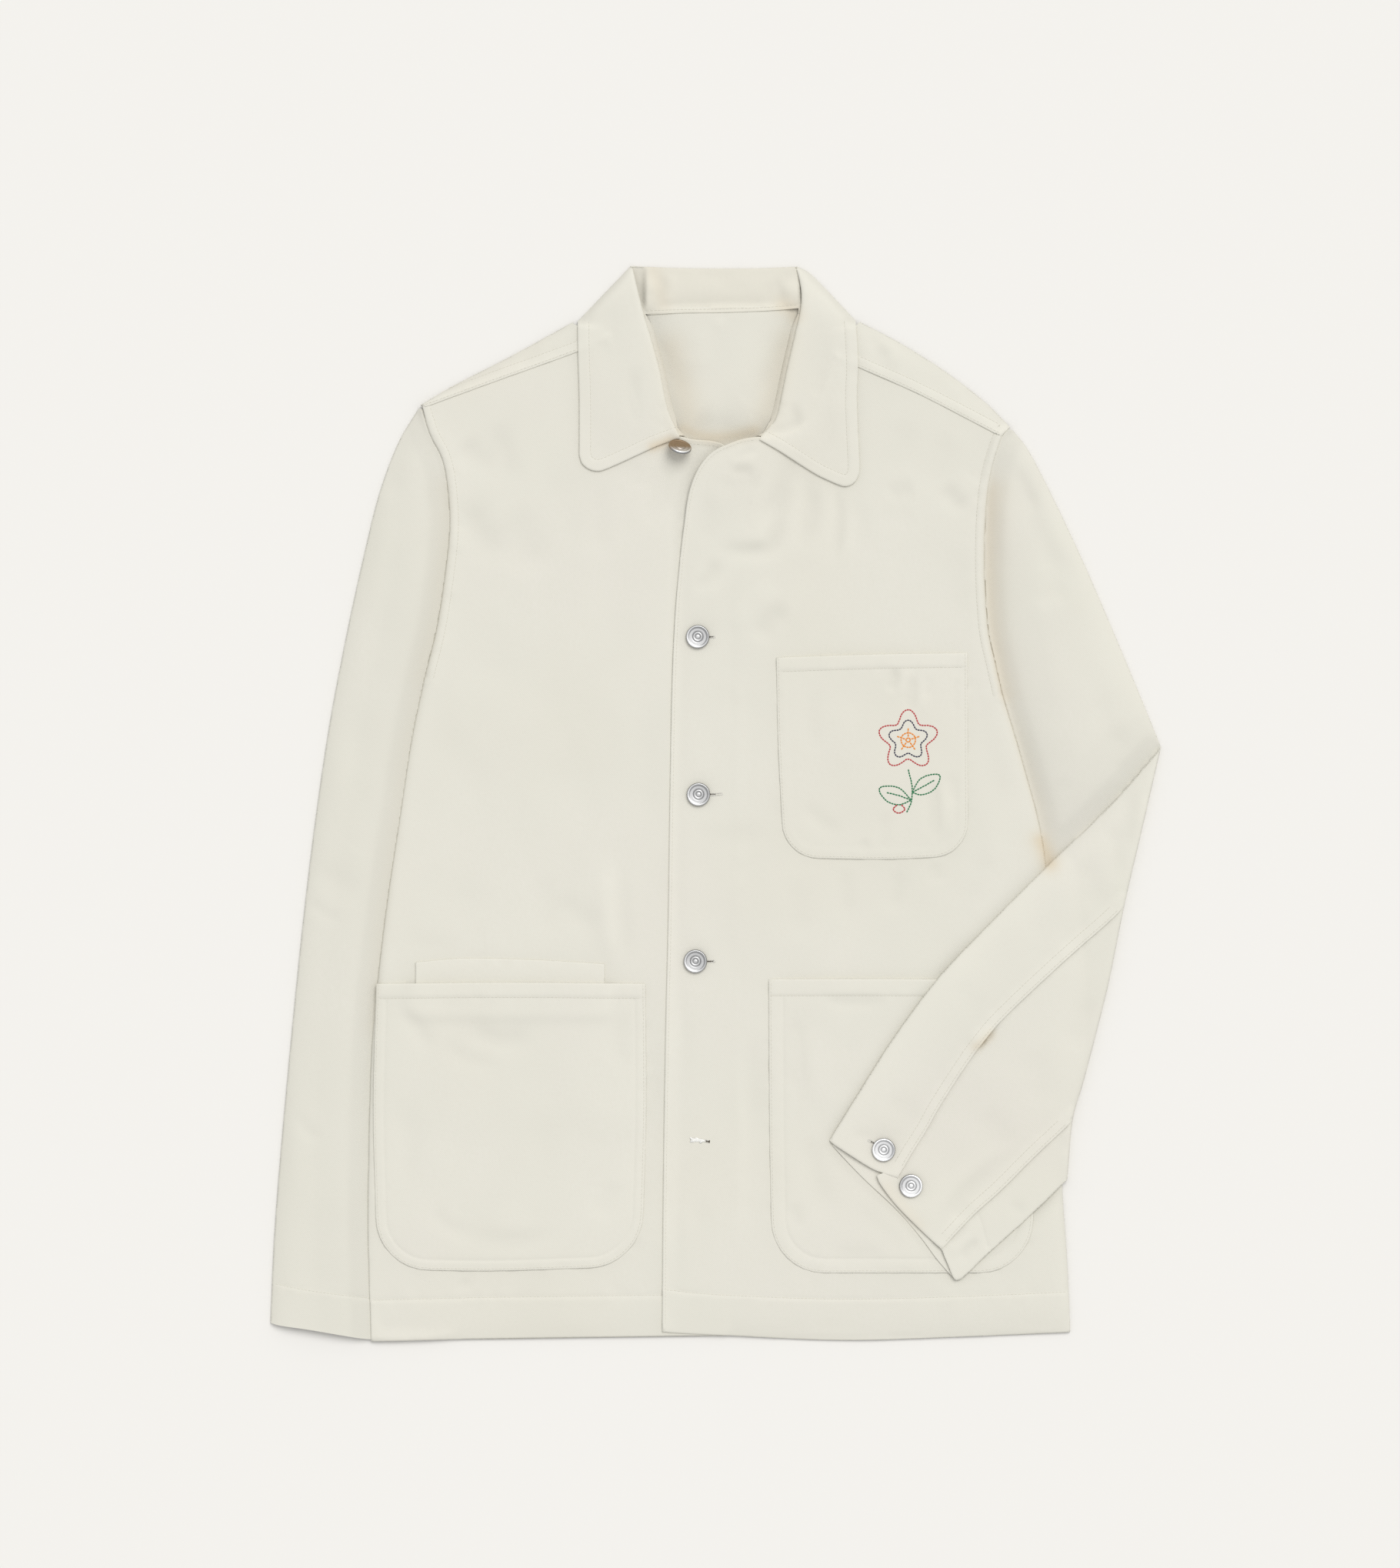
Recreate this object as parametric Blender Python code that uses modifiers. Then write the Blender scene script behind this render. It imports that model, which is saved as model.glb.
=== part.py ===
"""Work jacket in cotton drill, laid flat on its back with one sleeve folded over the front.

Metres, +Z up. The jacket lies on z = 0, collar towards +Y, front facing +Z. The wearer's right
side is at -X. Every piece of cloth is a closed wall. The layers are worked out in the order in
which they lie on each other: each layer drapes over what is under it, with a small gap.
"""
import math

import bpy
import bmesh
import numpy as np
from mathutils import Matrix, Vector
from mathutils.geometry import intersect_line_line_2d, intersect_point_tri_2d

# ---------------------------------------------------------------- driving dimensions
STEP = 0.00056            # one step of the grid on which the laid-out jacket was measured
GRID_MID = (929.5, 1044.0)  # grid reading at the middle of the jacket; x to the right, y down

CLOTH = 0.0010            # wall of one layer of cloth
GAP = 0.0003              # between two pieces
PLY = CLOTH + GAP         # rise from one layer to the next
RAMP = 0.10               # steepest slope of a layer that drapes over an edge
MESH = 0.030              # size of the facets of the draped cloth

BUTTON_D = 0.0170
BUTTON_T = 0.0026
SHANK_D = 0.0044
SHANK_H = 0.0010

CREAM = (0.78, 0.75, 0.65, 1.0)


def at(x, y):
    """A point of the measuring grid, in metres."""
    return ((x - GRID_MID[0]) * STEP, (GRID_MID[1] - y) * STEP)


def line(rows):
    """The points of a table with the columns name, x, y."""
    return [at(x, y) for _name, x, y in rows]


# ---------------------------------------------------------------- tables (grid readings)
# Shoulder silhouette, from the collar outwards
SHOULDER_R = [("collar", 745, 419), ("middle", 667, 462), ("near end", 592, 500.5), ("sleeve head", 547, 527)]
SHOULDER_L = [("collar", 1118, 419), ("middle", 1171, 447), ("near end", 1228, 483), ("sleeve head", 1313, 555.5)]
# Forward shoulder seam, between the back's shoulder flap and the front
YOKE_SEAM_R = [("under collar", 794, 440), ("collar edge", 749, 459), ("middle", 641, 498), ("armhole", 551, 531)]
YOKE_SEAM_L = [("under collar", 1083, 464), ("collar edge", 1115, 478), ("middle", 1196, 514), ("armhole", 1300.5, 568)]
# Armhole seam, from the sleeve head down to the underarm
ARMHOLE_R = [("sleeve head", 547, 527), ("upper", 560, 566), ("notch", 576, 599), ("middle", 585, 665),
             ("lower", 578, 755), ("near underarm", 568, 818), ("underarm", 553, 879)]
ARMHOLE_L = [("sleeve head", 1313, 555.5), ("upper", 1300, 573), ("notch", 1284, 634.5), ("middle", 1279, 720),
             ("lower", 1283, 812), ("near underarm", 1293, 862), ("underarm", 1302, 902)]
# Side edge of the body, from the underarm to the hem
SIDE_R = [("underarm", 553, 879), ("waist", 520, 1065), ("pocket top", 494, 1254), ("hip", 481, 1450), ("hem", 483, 1743)]
SIDE_L = [("underarm", 1302, 902), ("waist", 1355, 1098), ("hidden", 1374, 1260), ("hip", 1376, 1440), ("in the fold", 1380.5, 1545),
          ("low", 1387, 1640), ("hem", 1391, 1730)]
# Bottom edge
HEM_BACK = [("right side", 483, 1741), ("middle", 850, 1737), ("left side", 1391, 1730)]
HEM_RIGHT = [("side", 483, 1743), ("pocket middle", 654, 1739), ("front edge", 944, 1736)]
HEM_LEFT = [("front edge", 861, 1727), ("turn", 940, 1735), ("pocket", 1093, 1741.5), ("side", 1391, 1731)]
# Front edge of the upper front, from the neck down
FRONT_EDGE_L = [("neck", 987, 571), ("neck curve", 958, 574), ("corner", 934, 583), ("corner low", 912, 603),
                ("lapel", 895, 644), ("above button 1", 884, 725), ("button 1", 876, 828), ("button 2", 872, 1033),
                ("button 3", 868, 1249), ("open buttonhole", 863, 1481), ("hem", 861, 1727)]
FRONT_EDGE_R = [("neck", 884, 569), ("band", 930, 575), ("band end", 946, 582), ("hem", 944, 1736)]
# Roll line of the collar and the neck seam beyond it, from the front to the back
ROLL_R = [("front", 884, 567), ("low", 869, 535), ("middle", 858, 484), ("high", 836, 406), ("peak", 820, 348)]
ROLL_L = [("front", 987, 569), ("low", 1010, 540), ("middle", 1029, 455), ("high", 1041, 390), ("peak", 1035, 348)]
NECK_SEAM_R = [("front", 874, 570), ("low", 846, 552), ("middle", 812, 492), ("high", 794, 440)]
NECK_SEAM_L = [("front", 997, 573), ("low", 1040, 556), ("middle", 1071, 505), ("high", 1083, 464)]
NECK_SEAM_BACK = [("right", 838, 407), ("middle", 935, 405), ("left", 1041, 398)]
# Collar leaf outside the roll line, from the front corner round the point to the shoulder
LEAF_R = [("front corner", 884, 570), ("front edge", 850, 582), ("point", 792, 609), ("round", 770, 612),
          ("round end", 753, 594), ("outer edge", 753, 521), ("shoulder", 751, 418)]
LEAF_L = [("front corner", 987, 573), ("front edge", 1016, 589), ("point", 1080, 628), ("round", 1102, 632),
          ("round end", 1116, 607), ("outer edge", 1113, 521), ("shoulder", 1112, 418)]
FALL_HIDDEN = [("left end", 1112, 422), ("left", 1080, 468), ("middle", 930, 478), ("right", 785, 466), ("right end", 751, 422)]

# Wearer's right sleeve, a row for each section: outer edge, hidden inner edge
SLEEVE_R = [("underarm", 450, 830, 553, 879), ("biceps", 425, 965, 716, 1000), ("elbow", 400.5, 1145, 697, 1165),
            ("forearm", 378, 1360, 648, 1385), ("wrist", 359, 1577, 604, 1590), ("cuff", 351.8, 1719, 588, 1733)]
SLEEVE_R_HEAD = [("head", 544.5, 531), ("cap", 518, 576), ("upper", 494, 640), ("biceps top", 474, 720)]
# Distance of the two back seams from the outer and the inner edge
BACK_SEAM_IN = 0.047
FRONT_SEAM_IN = 0.026

# Wearer's left sleeve, the part that goes down beside and under the body
UPPER_L_OUTER = [("head", 1317, 560), ("cap", 1343, 597), ("upper", 1402, 717.5), ("middle", 1462, 856.5),
                 ("elbow tip", 1509, 971)]
UPPER_L_INNER = [("wrist", 1387, 1532), ("forearm", 1273, 1256), ("elbow", 1197, 1071), ("biceps", 1190, 1035),
                 ("underarm", 1302, 902)]
UPPER_L_SEAM_OUT = [("fold", 1461, 1177), ("middle", 1380, 996), ("armhole", 1291, 812)]
UPPER_L_SEAM_IN = [("fold", 1394, 1455), ("middle", 1300, 1225), ("biceps", 1232, 1062), ("underarm", 1216, 1004)]
# The line on which it folds over to the front
FOLD_L = [("elbow tip", 1509, 971), ("high", 1480, 1095), ("seam", 1461, 1177), ("middle", 1441, 1276),
          ("low", 1407, 1409), ("front seam", 1394, 1455), ("wrist", 1387, 1532)]
# The forearm that lies on the front
FORE_L_UPPER = [("elbow tip", 1509, 971), ("elbow", 1443, 1046), ("high", 1362, 1124), ("middle", 1286, 1200),
                ("low", 1217, 1273), ("wrist", 1160, 1350), ("cuff", 1078, 1481)]
FORE_L_SEAM_OUT = [("fold", 1461, 1177), ("high", 1376, 1254), ("middle", 1290, 1337), ("low", 1227, 1426), ("cuff", 1164, 1532)]
FORE_L_SEAM_IN = [("fold", 1394, 1455), ("middle", 1330, 1516), ("cuff", 1227, 1618)]
FORE_L_CUFF_FLAP = [("corner", 1078, 1482), ("middle", 1130, 1516.5), ("vent", 1164, 1532)]
FORE_L_CUFF_MAIN = [("vent", 1134, 1530), ("middle", 1168, 1570), ("turn", 1201, 1602), ("seam", 1223, 1622)]
FORE_L_CUFF_END = [("seam", 1223, 1622), ("corner", 1240, 1661), ("corner end", 1249, 1661)]
FORE_L_CUFF_UNDER = [("corner", 1082, 1489), ("middle", 1161, 1567), ("turn", 1194, 1604), ("corner low", 1240, 1661)]
FORE_L_LOWER = [("corner", 1249, 1661), ("wrist", 1286, 1625), ("middle", 1334, 1583), ("fold", 1387, 1532)]

# Patch pockets: left, right and top edge, depth, corner radius (grid steps), side bulge
POCKETS = {
    "chest_pocket": dict(top_left=(1009, 855), top_right=(1257, 849), bottom_left=(1018, 1116), bottom_right=(1256, 1114), radius=44),
    "pocket_right": dict(top_left=(490, 1278), top_right=(839, 1278), bottom_left=(489, 1651), bottom_right=(836, 1646), radius=68),
    "pocket_left": dict(top_left=(999, 1272), top_right=(1348, 1275), bottom_left=(1003, 1653.5), bottom_right=(1341, 1653.5), radius=66),
}
WELT = [("top right", 541, 1250), ("top middle", 660, 1247), ("top left", 786, 1252), ("low left", 786, 1312), ("low right", 541, 1312)]

# Buttons: grid reading, tilt about the X axis in degrees
BUTTONS = [("button_neck", 884, 584, 42.0), ("button_front_1", 907, 828, 0.0), ("button_front_2", 908, 1032.6, 0.0),
           ("button_front_3", 904, 1249, 0.0), ("button_cuff_1", 1148, 1493.3, 0.0), ("button_cuff_2", 1183.5, 1540, 0.0)]
# Turned section of a button: radius and height as shares of its radius and thickness
BUTTON_SECTION = [("shank foot", 0.26, -0.38), ("shank", 0.26, 0.02), ("back", 0.88, 0.10), ("edge", 1.0, 0.42), ("rim", 0.97, 0.86),
                  ("rim top", 0.86, 1.0), ("dish", 0.64, 0.82), ("dish middle", 0.44, 0.80), ("ring", 0.36, 0.98),
                  ("ring in", 0.24, 0.96), ("centre", 0.16, 0.78)]

# ---------------------------------------------------------------- scene and helpers
for old in list(bpy.data.objects):
    bpy.data.objects.remove(old, do_unlink=True)
for old in list(bpy.data.meshes):
    bpy.data.meshes.remove(old)

parts = bpy.data.collections.new("fatigue_jacket")
bpy.context.scene.collection.children.link(parts)


def material(name, colour, rough, metal=0.0):
    m = bpy.data.materials.new(name)
    m.use_nodes = True
    b = m.node_tree.nodes["Principled BSDF"]
    b.inputs["Base Color"].default_value = colour
    b.inputs["Roughness"].default_value = rough
    b.inputs["Metallic"].default_value = metal
    m.diffuse_color = colour
    return m


def smooth_line(points, per_span=2):
    """A Catmull-Rom curve through the points, per_span pieces to a span."""
    pts = [np.array(p, float) for p in points]
    ext = [2 * pts[0] - pts[1]] + pts + [2 * pts[-1] - pts[-2]]
    out = []
    for i in range(len(pts) - 1):
        p0, p1, p2, p3 = ext[i:i + 4]
        for k in range(per_span):
            t = k / per_span
            out.append(0.5 * ((2 * p1) + (p2 - p0) * t + (2 * p0 - 5 * p1 + 4 * p2 - p3) * t * t
                              + (3 * p1 - p0 - 3 * p2 + p3) * t ** 3))
    out.append(pts[-1])
    return [tuple(p) for p in out]


def shifted(points, distance):
    """The line moved sideways by a distance, to its left as it runs."""
    pts = [np.array(p, float) for p in points]
    out = []
    for i, p in enumerate(pts):
        a, b = pts[max(i - 1, 0)], pts[min(i + 1, len(pts) - 1)]
        d = (b - a) / np.linalg.norm(b - a)
        out.append(tuple(p + np.array([-d[1], d[0]]) * distance))
    return out


def ring(*runs):
    """One closed outline from several runs of points, without doubled points."""
    out = []
    for run in runs:
        for p in run:
            if not out or math.dist(p, out[-1]) > 0.0004:
                out.append((float(p[0]), float(p[1])))
    while math.dist(out[0], out[-1]) <= 0.0004:
        out.pop()
    area = sum(a[0] * b[1] - b[0] * a[1] for a, b in zip(out, out[1:] + out[:1]))
    return out if area > 0 else out[::-1]


def inset(outline, distance):
    """A closed outline with each of its edges moved inwards."""
    n = len(outline)
    pts = [np.array(p, float) for p in outline]
    normal = []
    for i in range(n):
        d = pts[(i + 1) % n] - pts[i]
        d /= np.linalg.norm(d)
        normal.append(np.array([-d[1], d[0]]))
    out = []
    for i in range(n):
        m = normal[i - 1] + normal[i]
        m /= max(np.dot(m, normal[i]), 0.35)
        out.append(tuple(pts[i] + m * distance))
    return out


def band(run, width, side):
    """A strip of even width beside a line, on its left (side 1) or right (side -1)."""
    return ring(run, shifted(run, side * width)[::-1])


def strip_between(inner, outer):
    return ring(inner, outer[::-1])


# ---------------------------------------------------------------- draping
X_LINES = np.arange(-12, 13) * MESH + 0.004
Y_LINES = np.arange(-14, 15) * MESH - 0.006
NX, NY = len(X_LINES), len(Y_LINES)
NODE_XY = np.array([(x, y) for y in Y_LINES for x in X_LINES])
NODE_DIST = np.linalg.norm(NODE_XY[:, None] - NODE_XY[None], axis=2)
TRIS = []
for j in range(NY - 1):
    for i in range(NX - 1):
        a, b, c, d = j * NX + i, j * NX + i + 1, (j + 1) * NX + i + 1, (j + 1) * NX + i
        TRIS += [(a, b, c), (a, c, d)]


def touched(outline):
    """Facets of the drape grid that an outline reaches."""
    hit = []
    poly = [Vector(p) for p in outline]
    edges = list(zip(poly, poly[1:] + poly[:1]))
    xs, ys = [p[0] for p in outline], [p[1] for p in outline]

    def inside(q):
        n = 0
        for a, b in edges:
            if (a.y > q.y) != (b.y > q.y) and q.x < a.x + (q.y - a.y) * (b.x - a.x) / (b.y - a.y):
                n += 1
        return n % 2 == 1
    for t in TRIS:
        q = [Vector(NODE_XY[k]) for k in t]
        if (max(p.x for p in q) < min(xs) or min(p.x for p in q) > max(xs)
                or max(p.y for p in q) < min(ys) or min(p.y for p in q) > max(ys)):
            continue
        if any(inside(p) for p in q) or any(intersect_point_tri_2d(p, *q) for p in poly) or any(
                intersect_line_line_2d(a, b, q[k], q[(k + 1) % 3]) for a, b in edges for k in range(3)):
            hit.append(t)
    return hit


def cover(outline, top):
    """Height of a laid layer at the nodes it can touch, and nothing elsewhere."""
    h = np.zeros(len(NODE_XY))
    for t in touched(outline):
        for k in t:
            h[k] = max(h[k], top[k])
    return h


def drape(*covers):
    """Underside of a layer that lies on others: over the highest of them by the gap."""
    raw = np.zeros(len(NODE_XY))
    for h in covers:
        raw = np.maximum(raw, np.where(h > 0, h + GAP, 0.0))
    return np.max(raw[None] - RAMP * NODE_DIST, axis=1).clip(min=0.0)


def slab(outline, low, high):
    """A closed wall between two draped heights, cut to an outline."""
    tris = touched(outline)
    used = sorted({k for t in tris for k in t})
    index = {k: n for n, k in enumerate(used)}
    bm = bmesh.new()
    verts = [bm.verts.new((NODE_XY[k][0], NODE_XY[k][1], low[k])) for k in used]
    for t in tris:
        bm.faces.new([verts[index[k]] for k in t])
    top = bmesh.ops.extrude_face_region(bm, geom=list(bm.faces))
    moved = {}
    for v in top["geom"]:
        if isinstance(v, bmesh.types.BMVert):
            moved[v] = True
    low_of = {(round(NODE_XY[k][0], 7), round(NODE_XY[k][1], 7)): k for k in used}
    for v in moved:
        v.co.z = high[low_of[(round(v.co.x, 7), round(v.co.y, 7))]]
    bmesh.ops.recalc_face_normals(bm, faces=list(bm.faces))
    me = bpy.data.meshes.new("sheet")
    bm.to_mesh(me)
    bm.free()
    ob = bpy.data.objects.new("sheet", me)
    bpy.context.scene.collection.objects.link(ob)
    cutter = prism(outline, min(low[k] for k in used) - 0.002, max(high[k] for k in used) + 0.002)
    return combine(ob, cutter, "INTERSECT")


def prism(outline, z0, z1):
    """An upright block with the outline as its plan: a filled 2D curve, extruded."""
    cu = bpy.data.curves.new("outline", "CURVE")
    cu.dimensions = "2D"
    cu.fill_mode = "BOTH"
    cu.extrude = (z1 - z0) / 2
    sp = cu.splines.new("POLY")
    sp.points.add(len(outline) - 1)
    for p, q in zip(sp.points, outline):
        p.co = (q[0], q[1], 0, 1)
    sp.use_cyclic_u = True
    src = bpy.data.objects.new("outline", cu)
    src.location.z = (z0 + z1) / 2
    bpy.context.scene.collection.objects.link(src)
    bpy.context.view_layer.update()
    me = bpy.data.meshes.new_from_object(src.evaluated_get(bpy.context.evaluated_depsgraph_get()))
    bm = bmesh.new()
    bm.from_mesh(me)
    bmesh.ops.remove_doubles(bm, verts=bm.verts, dist=1e-6)
    bmesh.ops.recalc_face_normals(bm, faces=list(bm.faces))
    bm.to_mesh(me)
    bm.free()
    ob = bpy.data.objects.new("prism", me)
    ob.matrix_world = src.matrix_world
    bpy.context.scene.collection.objects.link(ob)
    bpy.data.objects.remove(src, do_unlink=True)
    return ob


def fold_wall(run, side, low, high, draw_in=0.00002):
    """The turned edge of a fold: an upright wall beside a line, joining two layers."""
    return slab(band(shifted(run, side * draw_in), CLOTH, side), low + draw_in, high - draw_in)


def combine(ob, other, how):
    """One Boolean, applied; the second object is used up."""
    mod = ob.modifiers.new("cut", "BOOLEAN")
    mod.operation = how
    mod.solver = "EXACT"
    mod.object = other
    bpy.context.view_layer.update()
    me = bpy.data.meshes.new_from_object(ob.evaluated_get(bpy.context.evaluated_depsgraph_get()))
    ob.modifiers.clear()
    old = ob.data
    ob.data = me
    bpy.data.meshes.remove(old)
    bpy.data.objects.remove(other, do_unlink=True)
    return ob


def piece(name, slabs, mat):
    """One named piece of cloth, joined from its walls."""
    ob = slabs[0]
    for more in slabs[1:]:
        ob = combine(ob, more, "UNION")
    bm = bmesh.new()
    bm.from_mesh(ob.data)
    bmesh.ops.remove_doubles(bm, verts=bm.verts, dist=2e-6)
    bmesh.ops.dissolve_degenerate(bm, edges=bm.edges, dist=2e-6)
    bmesh.ops.dissolve_limit(bm, angle_limit=math.radians(0.02), verts=bm.verts, edges=bm.edges)
    bmesh.ops.triangulate(bm, faces=list(bm.faces))
    bm.to_mesh(ob.data)
    bm.free()
    ob.name = name
    ob.data.name = name
    ob.data.materials.clear()
    ob.data.materials.append(mat)
    for c in list(ob.users_collection):
        c.objects.unlink(ob)
    parts.objects.link(ob)
    return ob


drill = material("cotton_drill", CREAM, 0.9)
metal = material("button_metal", (0.75, 0.75, 0.76, 1.0), 0.32, 1.0)
FLOOR = np.zeros(len(NODE_XY))
INSET = PLY * 1.0

# ---------------------------------------------------------------- outlines
side_r, side_l = smooth_line(line(SIDE_R)), smooth_line(line(SIDE_L))
arm_r, arm_l = smooth_line(line(ARMHOLE_R)), smooth_line(line(ARMHOLE_L))
shoulder_r, shoulder_l = line(SHOULDER_R), line(SHOULDER_L)
yoke_r, yoke_l = line(YOKE_SEAM_R), line(YOKE_SEAM_L)
roll_r, roll_l = smooth_line(line(ROLL_R)), smooth_line(line(ROLL_L))
neck_r, neck_l = smooth_line(line(NECK_SEAM_R)), smooth_line(line(NECK_SEAM_L))
neck_back = line(NECK_SEAM_BACK)

bust_r = [p for p in arm_r if p[1] < at(0, 536)[1]]
bust_l = [p for p in arm_l if p[1] < at(0, 572)[1]]
neck_line = [at(752, 424), at(790, 432)] + [(x, y - 0.0014) for x, y in neck_back] + [at(1060, 424), at(1083, 434), at(1112, 424)]

BACK = ring([at(745, 422)], shoulder_r, arm_r, side_r, line(HEM_BACK), side_l[::-1], arm_l[::-1], shoulder_l[::-1], neck_line[::-1])
FLAP_R = ring([at(745, 422)], shoulder_r, yoke_r[::-1], [at(790, 432), at(752, 424)])
FLAP_L = ring([at(1118, 422)], shoulder_l, yoke_l[::-1], [at(1083, 434), at(1112, 424)])
FRONT_R = ring(shifted(yoke_r, 0.0004), bust_r, side_r, line(HEM_RIGHT), line(FRONT_EDGE_R)[::-1], neck_r)
FRONT_L = ring(shifted(yoke_l, -0.0004), bust_l, side_l, line(HEM_LEFT)[::-1], line(FRONT_EDGE_L)[::-1], neck_l)

stand_r, stand_l = shifted(neck_r, -0.0006), shifted(neck_l, 0.0006)
seam_level = at(0, 404)[1]
STAND = ring([at(884, 566)], [p for p in roll_r[1:] if p[1] < seam_level - 0.003], neck_back,
             [p for p in roll_l[::-1][:-1] if p[1] < seam_level - 0.003], [at(987, 568)], stand_l,
             [at(1080, 430), at(1098, 416), at(1036, 353)], [at(820, 353), at(764, 416), at(792, 427)], stand_r[::-1])

peak_r, peak_l = at(820, 346.5), at(1036, 346.5)
FALL = ring([peak_r, peak_l], line(FALL_HIDDEN))
LEAF_OUT_R = ring([peak_r], roll_r[::-1][1:], line(LEAF_R))
LEAF_OUT_L = ring([peak_l], roll_l[::-1][1:], line(LEAF_L))

outer_r = smooth_line(line(SLEEVE_R_HEAD) + [at(r[1], r[2]) for r in SLEEVE_R])
inner_r = smooth_line([at(r[3], r[4]) for r in SLEEVE_R[1:]])
cuff_r = [at(403, 1727), at(446, 1734.5), at(483, 1741)]
under_r = at(553, 880)
arm_r_sleeve = shifted(arm_r, -0.0004)[1:]
SLEEVE_OUT_R = ring(outer_r, cuff_r, inner_r[::-1], [under_r], arm_r_sleeve[::-1])
HIDDEN_R = ring(side_r, [at(588, 1733)], inner_r[::-1])
seam_out_r = shifted(outer_r[6:], BACK_SEAM_IN)
seam_in_r = shifted(inner_r, -FRONT_SEAM_IN)


def run_past(run, at_end, by):
    """The line with its first or last point drawn out past the edge of the cloth."""
    pts = [np.array(p) for p in run]
    a, b = (pts[-1], pts[-2]) if at_end else (pts[0], pts[1])
    tip = tuple(a + (a - b) / np.linalg.norm(a - b) * by)
    return run + [tip] if at_end else [tip] + run


def shortened(run, start, end):
    """The line without its first and last bit, given in metres."""
    pts = [np.array(p) for p in run]
    a = pts[0] + (pts[1] - pts[0]) / np.linalg.norm(pts[1] - pts[0]) * start
    b = pts[-1] + (pts[-2] - pts[-1]) / np.linalg.norm(pts[-2] - pts[-1]) * end
    return [tuple(a), *run[1:-1], tuple(b)]


WINDOW_R = ring([at(600, 800)], run_past(seam_out_r, True, 0.02), run_past(run_past(seam_in_r, True, 0.02), False, 0.04)[::-1])
HALF = 0.00018


fold_l, fold_in = line(FOLD_L), shifted(line(FOLD_L), -INSET)
u_outer, u_inner = smooth_line(line(UPPER_L_OUTER)), line(UPPER_L_INNER)
arm_l_sleeve = shifted(arm_l, 0.0004)[1:]
f_upper, f_lower = line(FORE_L_UPPER), line(FORE_L_LOWER)
UPPER = ring(u_outer, fold_l, u_inner, arm_l_sleeve[::-1])
UPPER_TOP = ring(u_outer[:-1], fold_in, u_inner[1:], arm_l_sleeve[::-1])
HIDDEN_L = ring([p for p in side_l if p[1] > at(0, 1532)[1]], [at(1387, 1532)], u_inner)
FORE = ring(f_upper, line(FORE_L_CUFF_UNDER), f_lower, fold_l[::-1])
FORE_UNDER = ring(f_upper[1:], line(FORE_L_CUFF_UNDER), f_lower[:-1], fold_in[::-1])
s_out, s_in = line(UPPER_L_SEAM_OUT), line(UPPER_L_SEAM_IN)
t_out, t_in = line(FORE_L_SEAM_OUT), line(FORE_L_SEAM_IN)
arm_high = [p for p in arm_l_sleeve if p[1] > at(0, 808)[1]]
arm_low = [p for p in arm_l_sleeve if p[1] < at(0, 816)[1]]
UPPER_STRIP_OUT = inset(ring(u_outer, fold_l[1:3], s_out[1:], arm_high[::-1]), HALF)
UPPER_MID = inset(ring(s_out[::-1], fold_l[3:5], s_in, [at(1302, 902)], arm_low[::-1][1:]), HALF)
UPPER_STRIP_IN = inset(ring(s_in, u_inner[::-1][1:]), HALF)
FORE_STRIP_OUT = inset(ring(f_upper, line(FORE_L_CUFF_FLAP), t_out[::-1][1:], fold_l[1:3][::-1]), HALF)
FORE_MID = inset(ring(t_out, line(FORE_L_CUFF_MAIN), t_in[::-1], fold_l[3:5][::-1]), HALF)
FORE_STRIP_IN = inset(ring(t_in, line(FORE_L_CUFF_END), f_lower), HALF)


def pocket_outline(top_left, top_right, bottom_left, bottom_right, radius):
    """A patch pocket with two rounded lower corners."""
    tl, tr, bl, br = (np.array(at(*p)) for p in (top_left, top_right, bottom_left, bottom_right))
    r = radius * STEP

    def corner(a, c, b):
        p = c + (a - c) / np.linalg.norm(a - c) * r
        q = c + (b - c) / np.linalg.norm(b - c) * r
        return [tuple((1 - t) ** 2 * p + 2 * t * (1 - t) * c + t * t * q) for t in (0, 0.25, 0.5, 0.75, 1)]
    return ring([tuple(tr), tuple(tl)], corner(tl, bl, br), corner(bl, br, tr))


# ---------------------------------------------------------------- heights, in laying order
sleeve_low = (FLOOR, FLOOR + CLOTH)
sleeve_high = (FLOOR + PLY, FLOOR + PLY + CLOTH)
fall_z = (FLOOR, FLOOR + CLOTH)


def lay(*under):
    low = drape(*[cover(outline, z[1]) for outline, z in under])
    return low, low + CLOTH


back_z = lay((FALL, fall_z), (HIDDEN_R, sleeve_high), (HIDDEN_L, sleeve_high))
front_r_z = lay((BACK, back_z))
front_l_z = lay((BACK, back_z), (FRONT_R, front_r_z))
stand_z = lay((BACK, back_z), (FALL, fall_z))
leaf_z = lay((FRONT_R, front_r_z), (FRONT_L, front_l_z), (FLAP_R, front_r_z), (FLAP_L, front_r_z), (STAND, stand_z), (BACK, back_z))
welt_outline = ring(line(WELT))
outlines = {k: pocket_outline(**v) for k, v in POCKETS.items()}
welt_z = lay((FRONT_R, front_r_z))
pocket_z = {"chest_pocket": lay((FRONT_L, front_l_z)), "pocket_left": lay((FRONT_L, front_l_z)),
            "pocket_right": lay((FRONT_R, front_r_z), (welt_outline, welt_z))}
fore_z = lay((FRONT_L, front_l_z), (outlines["pocket_left"], pocket_z["pocket_left"]), (outlines["chest_pocket"], pocket_z["chest_pocket"]),
             (UPPER, sleeve_high))
fore_top_z = (fore_z[0] + PLY, fore_z[1] + PLY)

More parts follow.
